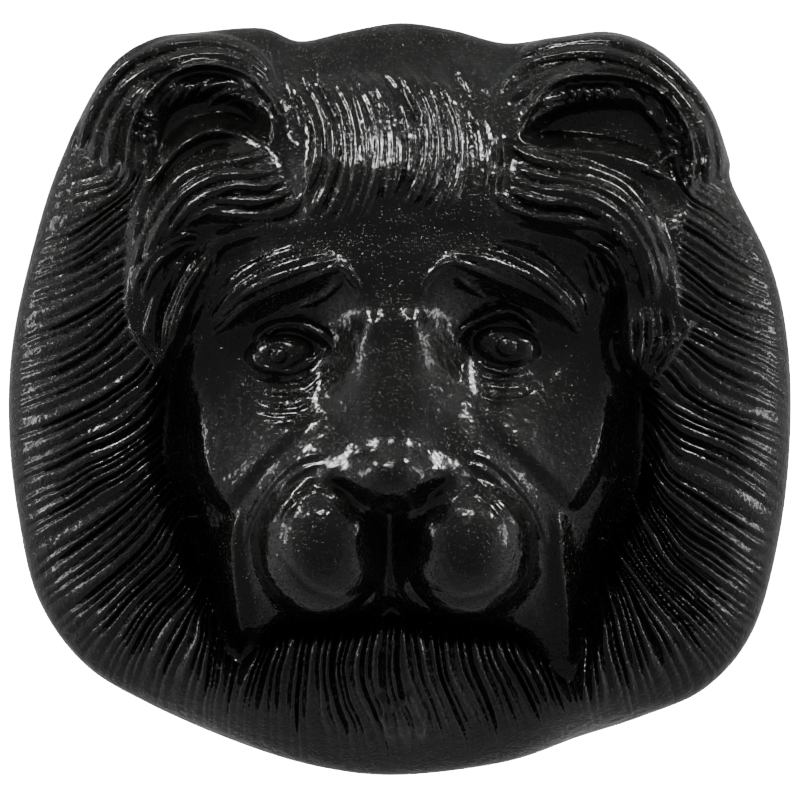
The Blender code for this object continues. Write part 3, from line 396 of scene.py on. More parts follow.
TUFT_CAPS = (
    1.4, 1.2,
    (
        ((578, 256), (590, 249), (603, 251), (613, 259), (624, 266)),
        ((600, 250), (612, 252), (622, 259), (630, 268)),
    ),
)
TUFT_BORDERS = (
    1.0, 1.1,
    (
        ((690, 318), (682, 332), (673, 346), (664, 360), (655, 373), (643, 384)),
        ((133, 318), (137, 332), (145, 345), (155, 357), (166, 368)),
    ),
)
EAR_SURROUNDS = (
    2.3, 2.2,
    (
        (
            (82, 150), (90, 116), (108, 84), (132, 62), (160, 50), (190, 43), (220, 44), (246, 52),
            (264, 66), (278, 88),
        ),
        (
            (96, 166), (100, 132), (114, 102), (136, 80), (164, 65), (198, 56), (232, 58), (258, 70),
            (276, 90), (288, 116),
        ),
        ((112, 176), (112, 146), (120, 118), (138, 97), (158, 80)),
        ((70, 152), (80, 112), (100, 78), (126, 54), (154, 42)),
        (
            (500, 96), (508, 82), (520, 70), (544, 59), (576, 54), (610, 56), (644, 68), (672, 90),
            (694, 120), (704, 152),
        ),
        ((506, 106), (522, 92), (542, 79), (574, 71), (604, 70)),
        (
            (514, 64), (540, 48), (580, 42), (620, 44), (655, 58), (686, 84), (708, 116), (718, 152),
            (716, 180),
        ),
        ((690, 106), (702, 130), (708, 158), (704, 186)),
    ),
)
INNER_EARS = (
    1.5, 1.5,
    (
        ((148, 112), (156, 100), (168, 89), (184, 80)), ((158, 116), (166, 103), (177, 92), (190, 83)),
        ((171, 116), (177, 104), (186, 93), (198, 84)), ((184, 110), (190, 98), (199, 89), (212, 82)),
        ((198, 104), (206, 94), (218, 88), (232, 86)), ((208, 110), (220, 101), (234, 96), (248, 96)),
        ((226, 108), (238, 104), (250, 105), (262, 110)), ((238, 82), (252, 88), (263, 98), (271, 112)),
        ((256, 88), (268, 98), (277, 112), (283, 132)), ((262, 106), (270, 116), (276, 130), (277, 146)),
        ((136, 110), (147, 117), (160, 124)), ((135, 122), (146, 129), (159, 136)),
        ((134, 134), (145, 140), (156, 147)), ((520, 124), (532, 111), (546, 103), (562, 98)),
        ((526, 132), (540, 119), (554, 111), (570, 107)), ((562, 84), (571, 97), (575, 114)),
        ((577, 83), (585, 97), (588, 115)), ((592, 84), (596, 98), (595, 114)),
        ((602, 86), (610, 97), (612, 112)), ((618, 88), (631, 94), (643, 104)),
        ((624, 99), (637, 104), (647, 115)), ((646, 96), (657, 107), (663, 121)),
        ((640, 112), (650, 121), (656, 132)), ((662, 122), (673, 131), (686, 138)),
        ((664, 138), (675, 145), (687, 151)), ((650, 168), (664, 160), (682, 154)),
        ((636, 172), (652, 176), (668, 182)),
    ),
)
BROWS = (
    1.5, 1.3,
    (
        (
            (364, 300), (355, 283), (342, 270), (323, 277), (299, 287), (271, 297), (248, 309),
            (228, 326), (210, 338),
        ),
        ((340, 262), (318, 268), (292, 276), (264, 287), (241, 301), (220, 322)),
        ((328, 256), (304, 262), (276, 271), (250, 284), (231, 300), (212, 324)),
        ((312, 251), (286, 256), (260, 266), (238, 281), (222, 298), (208, 318)),
        (
            (421, 300), (425, 285), (436, 272), (453, 265), (475, 273), (501, 284), (528, 296),
            (556, 312), (582, 338),
        ),
        ((452, 256), (476, 260), (504, 269), (530, 280), (555, 298), (578, 324)),
        ((468, 250), (494, 254), (520, 264), (544, 279), (564, 298), (580, 320)),
        ((486, 246), (514, 250), (540, 262), (560, 279), (576, 300), (584, 322)),
    ),
)
CREASES = (
    1.2, 1.3,
    (
        ((344, 283), (329, 296), (313, 304), (297, 309)), ((452, 276), (468, 290), (486, 300)),
        ((472, 354), (479, 343), (490, 335), (503, 331)),
    ),
)
UPPER_LIDS = (
    2.1, 3.2,
    (
        ((254, 350), (263, 336), (278, 327), (298, 325), (316, 332), (328, 341), (336, 350)),
        ((454, 344), (463, 331), (476, 322), (493, 315), (509, 313), (523, 321), (536, 334)),
    ),
)
LOWER_LIDS = (
    1.1, 1.5,
    (
        ((256, 362), (272, 371), (290, 373), (306, 367), (318, 357), (325, 349)),
        ((476, 360), (485, 368), (500, 372), (515, 370), (528, 363), (540, 352)),
    ),
)
WRINKLES = (
    0.9, 0.9,
    (
        ((254, 379), (274, 385), (295, 385), (311, 380), (322, 369)),
        ((258, 392), (279, 397), (300, 395), (313, 389), (321, 379)),
        ((256, 402), (275, 408), (298, 408), (314, 399)),
        ((257, 413), (275, 417), (290, 417), (304, 412)), ((262, 420), (280, 423), (300, 419)),
        ((477, 374), (490, 379), (510, 379), (529, 373)), ((484, 384), (500, 388), (522, 387)),
        ((476, 392), (487, 399), (503, 401), (521, 398), (538, 389)),
    ),
)
WHISKERS = (
    1.1, 0.7,
    (
        ((330, 452), (306, 456), (284, 472), (266, 494), (252, 520), (246, 545)),
        ((330, 462), (308, 467), (288, 482), (272, 503), (259, 526), (252, 548)),
        ((328, 474), (308, 480), (291, 494), (277, 513), (265, 532)),
        ((326, 484), (308, 492), (293, 506), (281, 522)),
        ((458, 450), (480, 455), (502, 470), (522, 492), (538, 518), (546, 545)),
        ((458, 461), (479, 467), (499, 481), (516, 501), (530, 524), (540, 546)),
        ((460, 473), (478, 481), (495, 495), (510, 513), (524, 535)),
        ((462, 483), (478, 493), (492, 506), (504, 522)),
    ),
)
CHIN_CURLS = (
    1.7, 1.8,
    (
        ((404, 686), (411, 702), (418, 720), (424, 740)),
        ((392, 694), (399, 710), (405, 728), (410, 746)), ((382, 706), (388, 722), (394, 740)),
    ),
)

# Plain ridges, and grooves where the rise is below zero: half widths, rise, share that tapers, paths
RIDGE_REACH = 2.2
RIDGE_SPREAD = 0.75
EAR_RIMS = (
    (2.4, 1.6, 1.4, 1.8), 5.0, 0.1,
    (
        (
            (134, 186), (131, 162), (133, 136), (141, 112), (156, 92), (176, 76), (202, 68), (230, 71),
            (254, 82), (271, 100), (281, 120), (287, 142),
        ),
        (
            (518, 126), (530, 108), (546, 90), (566, 81), (600, 78), (630, 82), (654, 92), (674, 112),
            (688, 140), (690, 168), (684, 204),
        ),
    ),
)
JOWLS = (
    (2.5, 3.5, 3.5, 3.5, 3), 2.5, 0.2,
    (
        ((244, 500), (236, 530), (236, 565), (241, 605), (244, 650)),
        ((552, 500), (558, 530), (559, 560), (565, 615), (573, 670)),
    ),
)
LIPS = (
    (2, 3.5, 4, 4, 3.5, 2), 2.2, 0.2,
    (
        ((262, 540), (270, 572), (288, 600), (320, 611), (355, 606), (384, 590)),
        ((538, 545), (526, 576), (504, 602), (470, 612), (436, 607), (408, 590)),
    ),
)
LIP_CREASES = (
    (1.6, 1.6), -0.8, 0.2,
    (
        ((270, 530), (290, 558), (312, 582), (345, 592), (378, 578)),
        ((522, 530), (508, 562), (486, 586), (454, 592), (418, 578)),
    ),
)
PHILTRUM = ((5, 6, 6, 6), -6, 0.1, (((390, 500), (390, 535), (390, 575), (391, 622)),))
EYE_BAGS = (
    (2.5, 2.5), 0.6, 0.5,
    (
        ((450, 366), (459, 381), (474, 396), (496, 404)), ((563, 360), (558, 377), (547, 391)),
        ((240, 368), (241, 386), (248, 404)),
    ),
)
GULLIES = (
    (2, 2), -1.8, 0.2,
    (
        ((384, 78), (400, 98), (413, 116), (419, 134)), ((315, 84), (327, 106), (340, 130)),
        ((384, 640), (384, 668), (380, 700)),
    ),
)

# Eggs: radii, base, rise, roundness, blend, places and tilt
MUZZLE_BALLS = ((19.5, 21.5), 36.0, 26.0, 0.55, 4.0, ((324, 540, 6), (466, 541, -6)))
EYEBALLS = ((10.0, 5.8), 31.0, 6.0, 0.5, 1.2, ((284, 356, 7), (502, 348, -7)))
# Hammered places: rise and spacing of the bumps, radii, places
BALL_TOPS = (0.13, 3.2, (13.0, 10.0), ((326, 516), (464, 518)))
# Irises: depth and half width of the ring, rise and radius of the pupil, places and radius of the ring
IRISES = (0.9, 0.55, 0.7, 0.8, ((281, 356, 2.7), (505, 348, 3.2)))

# Soft round swellings and dents: rise, radii, places and any tilt
NOSTRILS = (-4.5, (5.0, 2.2), ((345, 486, -28), (434, 487, 28)))
FROWN = (2.6, (3.6, 3.6), ((372, 326), (413, 324)))
NOSE_LOBES = (2.2, (5.0, 4.0), ((376, 461), (407, 458)))
NOSE_TIP = (4.8, (11.0, 8.5), ((391, 478),))
CHIN = (3.0, (30.0, 12.0), ((392, 668),))

# Sand grain under the enamel: noise scales, and the noise values between which a grain rises
GRAIN_RISE = (0.55, 0.8)
SWELL_SCALE = 330.0
PATCH_SCALE = 60.0

# Patches of the enamel: noise values that they run between, and how far they change its colour and gloss
TINT_PATCHES = (0.35, 0.7)
GLOSS_PATCHES = (0.3, 0.7)
LIGHTER_TINT = 1.8
SMOOTHER = 0.05
ROUGHER = 0.07
COAT_WEIGHT = 0.3
COAT_ROUGHNESS = 0.1

# Area lights: place, width and height, aimed at the middle of the mask
KEY_LIGHT = ((-0.05, -0.6, 1.0), (0.4, 0.07))
CORNER_LIGHT = ((0.85, -0.15, 0.9), (0.2, 0.25))
SIDE_LIGHT = ((1.2, -0.12, 0.15), (0.1, 0.5))

# Light of the surround: where it begins beside the camera, and how it falls off above and below
SURROUND_FROM = -0.78
LEVEL_SLOPE = (0.2, 0.9)
LEVEL_SHARE = (0.9, 0.3)
PAPER_WHITE = 40.0
SENSOR_WIDTH = 36


def at(point):
    """Millimetres right of and above the origin, for a point of the drawing."""
    return ((point[0] - DRAWING_CENTRE) * UNIT, (DRAWING_CENTRE - point[1]) * UNIT)


def smooth_curve(points, closed=False, steps=6):
    """A curve through the drawing's points, as millimetres."""
    corners = np.array([at(point) for point in points])
    count = len(corners)
    t = np.linspace(0, 1, steps, endpoint=False)[:, None]
    pieces = []
    for i in range(count if closed else count - 1):
        places = [(i + k) % count if closed else min(max(i + k, 0), count - 1) for k in (-1, 0, 1, 2)]
        before, start, end, after = corners[places]
        bend = 2 * before - 5 * start + 4 * end - after
        twist = 3 * start - before - 3 * end + after
        pieces.append(0.5 * (2 * start + (end - before) * t + bend * t**2 + twist * t**3))
    if not closed:
        pieces.append(corners[-1:])
    return np.vstack(pieces)


def nearest_on(path, x, z, closed=False):
    """Distance to a path, and how far along it the nearest point is (0 to 1)."""
    starts = path if closed else path[:-1]
    ends = np.roll(path, -1, 0) if closed else path[1:]
    runs = ends - starts
    lengths = np.hypot(runs[:, 0], runs[:, 1])
    passed = np.concatenate([[0], np.cumsum(lengths)])
    best = np.full(x.shape, 1e12)
    along = np.zeros(x.shape)
    for i, (start, run, length) in enumerate(zip(starts, runs, lengths)):
        dx = x - start[0]
        dz = z - start[1]
        share = np.clip((dx * run[0] + dz * run[1]) / (length**2 + 1e-12), 0, 1)
        gap = (dx - share * run[0]) ** 2 + (dz - share * run[1]) ** 2
        closer = gap < best
        best = np.where(closer, gap, best)
        along = np.where(closer, (passed[i] + share * length) / passed[-1], along)
    return np.sqrt(best), along


def is_inside(path, x, z):
    crossings = np.zeros(x.shape, bool)
    for start, end in zip(path, np.roll(path, -1, 0)):
        spans = (start[1] > z) != (end[1] > z)
        meets = start[0] + (end[0] - start[0]) * (z - start[1]) / (end[1] - start[1] + 1e-15)
        crossings ^= spans & (x < meets)
    return crossings


def ease(t):
    t = np.clip(t, 0, 1)
    return t * t * (3 - 2 * t)


def rolled(t):
    """A rounded shoulder: steep at 0 and level at 1."""
    return 1 - (1 - np.clip(t, 0, 1)) ** SHOULDER


def soft_max(a, b, blend):
    overlap = np.maximum(blend - np.abs(a - b), 0) / blend
    return np.maximum(a, b) + overlap**2 * blend / 4


def turned(x, z, middle, radii, degrees=0.0):
    """Offsets from a middle in an ellipse's own turned axes, in radii."""
    cos = math.cos(math.radians(degrees))
    sin = math.sin(math.radians(degrees))
    dx = x - middle[0]
    dz = z - middle[1]
    return (dx * cos + dz * sin) / radii[0], (dz * cos - dx * sin) / radii[1]


def soft_surface(x, z, posts, slack):
    """A thin plate bent through posts of given heights."""
    places = np.array([at(point) for point, _ in posts])
    heights = np.array([height for _, height in posts], float)
    count = len(places)

    def plate(squared):
        return 0.5 * squared * np.log(squared + 1e-9)

    squared = ((places[:, None] - places[None]) ** 2).sum(2)
    system = np.zeros((count + 3, count + 3))
    system[:count, :count] = plate(squared) + slack * np.eye(count)
    system[:count, count] = 1
    system[:count, count + 1 :] = places
    system[count, :count] = 1
    system[count + 1 :, :count] = places.T
    weights = np.linalg.solve(system, np.concatenate([heights, np.zeros(3)]))
    surface = weights[count] + weights[count + 1] * x + weights[count + 2] * z
    for place, weight in zip(places, weights):
        surface = surface + weight * plate((x - place[0]) ** 2 + (z - place[1]) ** 2)
    return surface


class Carving:
    """Heights over the wall at the points x, z, and how bare of locks each point still is."""

    def __init__(self, x, z, height):
        self.x = x
        self.z = z
        self.height = height
        self.bare = np.ones_like(height)

    def close_to(self, path, reach):
        low = path.min(0) - reach
        high = path.max(0) + reach
        return (self.x > low[0]) & (self.x < high[0]) & (self.z > low[1]) & (self.z < high[1])

    def ridges(self, widths, rise, ends, paths):
        """Plain round ridges, or grooves where rise is negative."""
        for points in paths:
            path = smooth_curve(points)
            near = self.close_to(path, RIDGE_REACH * max(widths))
            gap, along = nearest_on(path, self.x[near], self.z[near])
            width = np.interp(along, np.linspace(0, 1, len(widths)), widths)
            taper = ease(along / ends) * ease((1 - along) / ends)
            self.height[near] += rise * taper * np.exp(-((gap / (RIDGE_SPREAD * width)) ** 2))

    def plateaus(self, rise, softness, fade_top, outlines):
        """Plateaus with soft sides, level with the surface at their top."""
        for points in outlines:
            path = smooth_curve(points, closed=True)
            near = self.close_to(path, 2 * softness)
            x = self.x[near]
            z = self.z[near]
            gap, _ = nearest_on(path, x, z, closed=True)
            depth_in = np.where(is_inside(path, x, z), gap, -gap)
            share = ease(0.5 + depth_in / softness) * ease((path[:, 1].max() - z) / fade_top)
            self.height[near] += rise * share

    def hollows(self, floor, softness, outlines):
        """Hollows with soft sides and a level floor."""
        for points in outlines:
            path = smooth_curve(points, closed=True)
            gap, _ = nearest_on(path, self.x, self.z, closed=True)
            share = np.where(is_inside(path, self.x, self.z), ease(gap / softness), 0)
            self.height += share * (np.minimum(self.height, floor) - self.height)
            self.bare *= 1 - share

    def swellings(self, rise, radii, places):
        """Soft round swellings, or dents where rise is negative."""
        for place in places:
            u, v = turned(self.x, self.z, at(place), radii, *place[2:])
            self.height += rise * np.exp(-(u * u + v * v))

    def eggs(self, radii, base, rise, roundness, blend, places):
        """Eggs that stand on a base height and blend into the surface around them."""
        for place in places:
            u, v = turned(self.x, self.z, at(place), radii, *place[2:])
            reach = u * u + v * v
            cap = np.where(reach < 1, np.maximum(1 - reach, 0) ** roundness, 1.5 * (1 - reach))
            self.height = soft_max(self.height, base + rise * cap, blend)

    def hammered(self, rise, spacing, radii, places):
        """Low uneven bumps, as left by hand dressing, that fade out around each place."""
        for place in places:
            u, v = turned(self.x, self.z, at(place), radii)
            share = ease(1.4 * (1 - u * u - v * v))
            across = math.tau * self.x / spacing
            along = math.tau * self.z / spacing
            rows = np.sin(across + 1.2 * np.sin(0.6 * along))
            files = np.sin(1.1 * along + 1.3 * np.sin(0.7 * across))
            self.height += rise * share * (rows * files)

    def irises(self, ring_depth, ring_width, pupil_rise, pupil_radius, places):
        """Sunk rings, each around a raised pupil."""
        for x, y, ring in places:
            middle = at((x, y))
            from_pupil = np.hypot(self.x - middle[0], self.z - middle[1])
            self.height -= ring_depth * np.exp(-(((from_pupil - ring) / ring_width) ** 2))
            self.height += pupil_rise * np.exp(-((from_pupil / pupil_radius) ** 2))

    def lock(self, points, widths, rise):
        """The rounded body of a lock, under its strands."""
        path = smooth_curve(points)
        near = self.close_to(path, BODY_REACH * max(widths))
        gap, along = nearest_on(path, self.x[near], self.z[near])
        width = np.interp(along, np.linspace(0, 1, len(widths)), widths)
        across = np.clip(gap / width, 0, 1)
        taper = ease(along / BODY_TAPER) * ease((1 - along) / BODY_TAPER)
        self.height[near] += rise * taper * (1 - across**2) ** BODY_FULLNESS
        self.bare[near] *= 1 - ease(3 * (1 - across)) * taper

    def strands(self, width, rise, paths):
        """Round strands side by side, each with a finer line along it and a point at both ends."""
        added = np.zeros_like(self.height)
        for number, points in enumerate(paths):
            path = smooth_curve(points)
            near = self.close_to(path, STRAND_REACH * width)
            gap, along = nearest_on(path, self.x[near], self.z[near])
            ends = min(TAPER_LENGTH / np.hypot(*np.diff(path, axis=0).T).sum(), 0.5)
            taper = ease(along / ends) * ease((1 - along) / ends)
            swell = 1 + SWELL * np.sin(SWELL_PACE * along + SWELL_START * number)
            across = np.clip(gap / (width * swell * (TIP_WIDTH + (1 - TIP_WIDTH) * taper)), 0, 1)
            line = FINE_LINE * np.exp(-(((across - FINE_LINE_PLACE) / FINE_LINE_WIDTH) ** 2))
            rope = (1 - across**2) ** STRAND_FULLNESS - line
            added[near] = np.maximum(added[near], rise * swell * taper**TIP_FALL * rope)
            self.bare[near] *= 1 - ease(2.2 - 1.4 * gap / width) * np.clip(2 * taper, 0, 1)
        self.height += added


def mane_strands(x, z):
    """The mane's strands: 1 on a crest and 0 in a groove, and the same for the deeper partings."""
    posts = [(point, number) for number, path in MANE_STRANDS for point in path]
    number = soft_surface(x, z, posts, STRAND_SLACK)
    around, right, up = FLOW_WAVE
    uneven = UNEVEN_WIDTHS * np.sin(WIDTH_WAVE * number)
    uneven = uneven + UNEVEN_FLOW * np.sin(around * number + right * x - up * z)
    number = number + uneven
    across = np.abs(2 * (number % 1) - 1)
    grouped = np.abs(2 * ((number / STRANDS_PER_PARTING) % 1) - 1)
    return (1 - across**CREST_FLATNESS) ** CREST_FULLNESS, 1 - grouped**PARTING_SHARPNESS


def depth_in_temples(x, z):
    """How far inside the temple locks' areas each point is, in millimetres."""
    deepest = np.zeros_like(x)
    for area in TEMPLE_AREAS:
        border = smooth_curve(area, closed=True, steps=3)
        gap, _ = nearest_on(border, x, z, closed=True)
        deepest = np.maximum(deepest, np.where(is_inside(border, x, z), gap, 0))
    return deepest


def hair_heights(x, z, edge_gap, face_gap, in_face, in_temple):
    """The mane's smooth body, its valley beside the face, and its strands."""
    middle = at(HAIR_MIDDLE)
    angle = np.abs(np.degrees(np.arctan2(x - middle[0], z - middle[1])))
    valley = np.interp(angle, HAIR_ANGLES, VALLEY_HEIGHT)
    crest = np.interp(angle, HAIR_ANGLES, CREST_HEIGHT)
    power = np.interp(angle, HAIR_ANGLES, FALL_POWER)
    roll = np.interp(angle, HAIR_ANGLES, FACE_ROLL)
    outward = face_gap / (face_gap + np.maximum(edge_gap, 0) + TINY)
    outward = np.where(in_face, 0, np.where(edge_gap > 0, outward, 1))
    body = EDGE_HEIGHT + (crest - EDGE_HEIGHT) * (1 - outward**power)

    round_strands, partings = mane_strands(x, z)
    beside = ease((angle - MANE_FROM) / MANE_FADE) * (1 - ease(in_temple / TEMPLE_HEM))
    tip_gap = face_gap - STRAND_TIP * (1 - round_strands) * beside
    body = valley + (body - valley) * rolled(tip_gap / CREST_ROLL)
    edge = np.clip(1 - edge_gap / EDGE_ROUNDING, 0, 1)
    body = body - EDGE_ROUNDING * (1 - np.sqrt(1 - EDGE_ROUNDNESS * edge**2))

    depth = STRAND_DEPTH * (round_strands - 1) + PARTING_DEPTH * (partings - 1)
    calm = CALM_SHARE + (1 - CALM_SHARE) * ease((edge_gap - CALM_EDGE) / (2 * CALM_EDGE))
    return body, valley, roll, depth * beside * calm * ease(edge_gap / FULL_DEPTH_FROM) * ~in_face


def carve_face(carving):
    carving.plateaus(*CHEEK_PADS)
    carving.ridges(*JOWLS)
    carving.eggs(*MUZZLE_BALLS)
    carving.hammered(*BALL_TOPS)
    carving.ridges(*LIPS)
    carving.ridges(*LIP_CREASES)
    carving.strands(*WHISKERS)
    carving.plateaus(*NOSE_PAD)
    carving.swellings(*NOSE_TIP)
    carving.swellings(*NOSE_LOBES)
    carving.ridges(*PHILTRUM)
    carving.swellings(*NOSTRILS)
    carving.swellings(*FROWN)
    carving.eggs(*EYEBALLS)
    carving.irises(*IRISES)
    carving.ridges(*EYE_BAGS)
    for strands in (BROWS, CREASES, UPPER_LIDS, LOWER_LIDS, WRINKLES):
        carving.strands(*strands)


def carve_head(carving):
    carving.swellings(*CHIN)
    for lock in LOCK_BODIES:
        carving.lock(*lock)
    carving.hollows(*EAR_HOLLOWS)
    carving.ridges(*EAR_RIMS)
    carving.ridges(*GULLIES)
    for strands in (
        EAR_SURROUNDS, INNER_EARS, TEMPLES, TEMPLE_HEMS, CURLS, TUFT_CAPS, TUFT_BORDERS, CROWN, FORELOCK,
        FORELOCK_MIDDLE, CHIN_CURLS,
    ):
        carving.strands(*strands)


def relief(x, z):
    """Height of the mask's face above the wall at each point, in millimetres."""
    outline = smooth_curve(OUTLINE, closed=True)
    face_edge = smooth_curve(FACE_EDGE, closed=True, steps=4)
    edge_gap, _ = nearest_on(outline, x, z, closed=True)
    edge_gap = np.where(is_inside(outline, x, z), edge_gap, 0)
    face_gap, _ = nearest_on(face_edge, x, z, closed=True)
    in_face = is_inside(face_edge, x, z)
    in_temple = depth_in_temples(x, z)
    hair, valley, roll, strands = hair_heights(x, z, edge_gap, face_gap, in_face, in_temple)

    carving = Carving(x, z, soft_surface(x, z, FACE_POSTS, FACE_SLACK))
    carve_face(carving)
    dropped = valley + (carving.height - valley) * rolled(face_gap / roll)
    lowered = TEMPLE_DROP * ease(in_temple / TEMPLE_SLOPE) * ease(face_gap / TEMPLE_SLOPE)
    carving.height = np.where(in_face, dropped, hair - lowered)
    carve_head(carving)
    return carving.height + strands * carving.bare


def spread(u, v, margin=0.0):
    """Maps the square from -1 to 1 onto the outline, so that the square's edge lies on it."""
    outline = smooth_curve(OUTLINE, closed=True, steps=12)
    looped = np.vstack([outline, outline[:1]])
    passed = np.concatenate([[0], np.cumsum(np.hypot(*np.diff(looped, axis=0).T))])
    total = passed[-1]
    stops = [passed[np.hypot(*(outline - at(stop)).T).argmin()] for stop in OUTLINE_STOPS]
    stops.append(stops[0])
    for i in range(1, len(stops)):
        while stops[i] <= stops[i - 1]:
            stops[i] += total
    reach = np.maximum(np.abs(u), np.abs(v))
    safe = np.where(reach > 0, reach, 1)
    across = u / safe
    up = v / safe
    bottom_or_left = np.where(up <= -1, 2 + (1 - across) / 2, 3 + (up + 1) / 2)
    side = np.where(up >= 1, (across + 1) / 2, np.where(across >= 1, 1 + (1 - up) / 2, bottom_or_left))
    place = np.interp(side % 4, np.linspace(0, 4, len(stops)), stops) % total
    edge_x = np.interp(place, passed, looped[:, 0])
    edge_z = np.interp(place, passed, looped[:, 1])
    middle = at(OUTLINE_MIDDLE)
    share = 1 - margin / np.hypot(edge_x - middle[0], edge_z - middle[1])
    x = middle[0] + reach * share * (edge_x - middle[0])
    z = middle[1] + reach * share * (edge_z - middle[1])
    return x, z


def to_object_mode():
    if bpy.context.object and bpy.context.object.mode != "OBJECT":
        bpy.ops.object.mode_set(mode="OBJECT")
    bpy.ops.object.select_all(action="DESELECT")


def unit_places(mesh):
    """A new grid's vertices, from -1 to 1."""
    places = np.empty(3 * len(mesh.vertices))
    mesh.vertices.foreach_get("co", places)
    places = places.reshape(-1, 3)
    return places[:, 0], places[:, 1]


def place_vertices(mesh, x, z, height):
    """Puts the vertices at millimetres right of, above and in front of the wall's origin."""
    places = np.column_stack([x, -height, z]) * MM
    mesh.vertices.foreach_set("co", places.ravel())
    mesh.update()


def add_grid(name, columns, rows):
    to_object_mode()
    bpy.ops.mesh.primitive_grid_add(x_subdivisions=columns, y_subdivisions=rows, size=2)
    grid = bpy.context.object
    grid.name = name
    return grid


def edit(obj, kind, selected):
    """Opens an object in edit mode, with all or none of it selected."""
    bpy.context.view_layer.objects.active = obj
    bpy.ops.object.mode_set(mode="EDIT")
    bpy.ops.mesh.select_mode(type=kind)
    bpy.ops.mesh.select_all(action="SELECT" if selected else "DESELECT")


def close_edit():
    """Turns all faces outward and leaves edit mode."""
    bpy.ops.mesh.select_all(action="SELECT")
    bpy.ops.mesh.normals_make_consistent(inside=False)
    bpy.ops.object.mode_set(mode="OBJECT")


def select_rim(obj):
    """Leaves only the open edges selected, in edit mode."""
    edit(obj, "EDGE", selected=False)
    bpy.ops.mesh.select_non_manifold(
        use_wire=False, use_multi_face=False, use_non_contiguous=False, use_verts=False
    )


def flatten(back):
    """Draws what is selected back to a plane behind the wall plane."""
    bpy.ops.transform.resize(value=(1, 0, 1), center_override=(0, back * MM, 0))


def wall_rim(obj, back):
    """Draws the open edges back to a plane and leaves the new edges selected."""
    select_rim(obj)
    bpy.ops.mesh.extrude_edges_move()
    flatten(back)


def close_back(obj, back):
    """Closes an open skin with walls and a flat back."""
    wall_rim(obj, back)
    bpy.ops.mesh.edge_face_add()
    close_edit()


def apply_modifier(obj, kind, name, **settings):
    bpy.context.view_layer.objects.active = obj
    modifier = obj.modifiers.new(name, kind)
    for key, value in settings.items():
        setattr(modifier, key, value)
    bpy.ops.object.modifier_apply(modifier=name)


def cut_away(obj, cutters):
    for cutter in cutters:
        cut = f"cut {cutter.name}"
        apply_modifier(obj, "BOOLEAN", cut, operation="DIFFERENCE", solver="EXACT", object=cutter)


def remove_objects(objects):
    for obj in objects:
        bpy.data.objects.remove(obj, do_unlink=True)


def hollow_height(x, z, columns, rows):
    """Height of the hollow's ceiling: the lowest carving close by, less the wall, and smoothed."""
    lowest = relief(x, z)
    for turn in range(WALL_PROBES):
        angle = math.radians(360 / WALL_PROBES * turn)
        lowest = np.minimum(lowest, relief(x + WALL * math.cos(angle), z + WALL * math.sin(angle)))
    grid = np.pad(lowest.reshape(rows + 1, columns + 1), 1, mode="edge")
    down = (grid[:-2] + 2 * grid[1:-1] + grid[2:]) / 4
    smoothed = (down[:, :-2] + 2 * down[:, 1:-1] + down[:, 2:]) / 4
    return np.minimum(smoothed.ravel(), lowest) - WALL


def add_post(name, radius, front, side):
    """A round post at one of the bosses, from behind the wall plane."""
    to_object_mode()
    length = front + WALL
    bpy.ops.mesh.primitive_cylinder_add(
        vertices=POST_SIDES,
        radius=radius * MM,
        depth=length * MM,
        location=(side * BOSS_OFFSET * MM, (WALL - length / 2) * MM, 0),
        rotation=(math.radians(90), 0, 0),
    )
    post = bpy.context.object
    post.name = name
    bpy.ops.object.transform_apply()
    return post


def add_chamber(name, low, high, bosses):
    """The hollow above or below the web."""
    columns = 2 * CHAMBER_CELLS
    rows = CHAMBER_CELLS
    chamber = add_grid(name, columns, rows)
    u, v = unit_places(chamber.data)
    x, z = spread(u, low + (high - low) * (v + 1) / 2, margin=RIM_WIDTH)
    web_edge = math.copysign(WEB_HEIGHT / 2, low + high)
    web_side = -1 if low + high > 0 else 1
    z = np.where(np.abs(v - web_side) < TINY, web_edge, z)
    place_vertices(chamber.data, x, z, hollow_height(x, z, columns, rows))
    close_back(chamber, WALL)
    cut_away(chamber, bosses)
    return chamber


def carve_front(cells):
    """The carved front as an open skin."""
    front = add_grid("lion_casting", cells, cells)
    u, v = unit_places(front.data)
    x, z = spread(u, v)
    inner_x, inner_z = spread(u, v, margin=CELL_MARGIN)
    height = np.maximum(relief(inner_x, inner_z), EDGE_HEIGHT - EDGE_ROUNDING)
    place_vertices(front.data, x, z, height)
    return front


def block_behind(front):
    """A block as wide as the front, from the front's own rim drawn flat into the wall plane."""
    select_rim(front)
    bpy.ops.mesh.duplicate()
    bpy.ops.mesh.separate(type="SELECTED")
    bpy.ops.object.mode_set(mode="OBJECT")
    block = next(obj for obj in bpy.context.selected_objects if obj != front)
    to_object_mode()
    block.name = "casting_back"
    block.select_set(True)
    edit(block, "EDGE", selected=True)
    flatten(0)
    bpy.ops.mesh.edge_face_add()
    bpy.ops.mesh.extrude_region_move(TRANSFORM_OT_translate={"value": (0, -MASK_WIDTH * MM, 0)})
    close_edit()
    return block


def hollow_out(block):
    """Cuts the chambers above and below the web and the two blind holes."""
    sides = (("left", -1), ("right", 1))
    bosses = [add_post(f"boss_{name}", BOSS_RADIUS, 2 * MASK_WIDTH, side) for name, side in sides]
    holes = [add_post(f"hole_{name}", HOLE_RADIUS, HOLE_DEPTH, side) for name, side in sides]
    web = WEB_HEIGHT / MASK_WIDTH
    upper = add_chamber("chamber_upper", web, 1.0, bosses)
    lower = add_chamber("chamber_lower", -1.0, -web, bosses)
    cut_away(block, [upper, lower, *holes])
    remove_objects([*bosses, *holes, upper, lower])


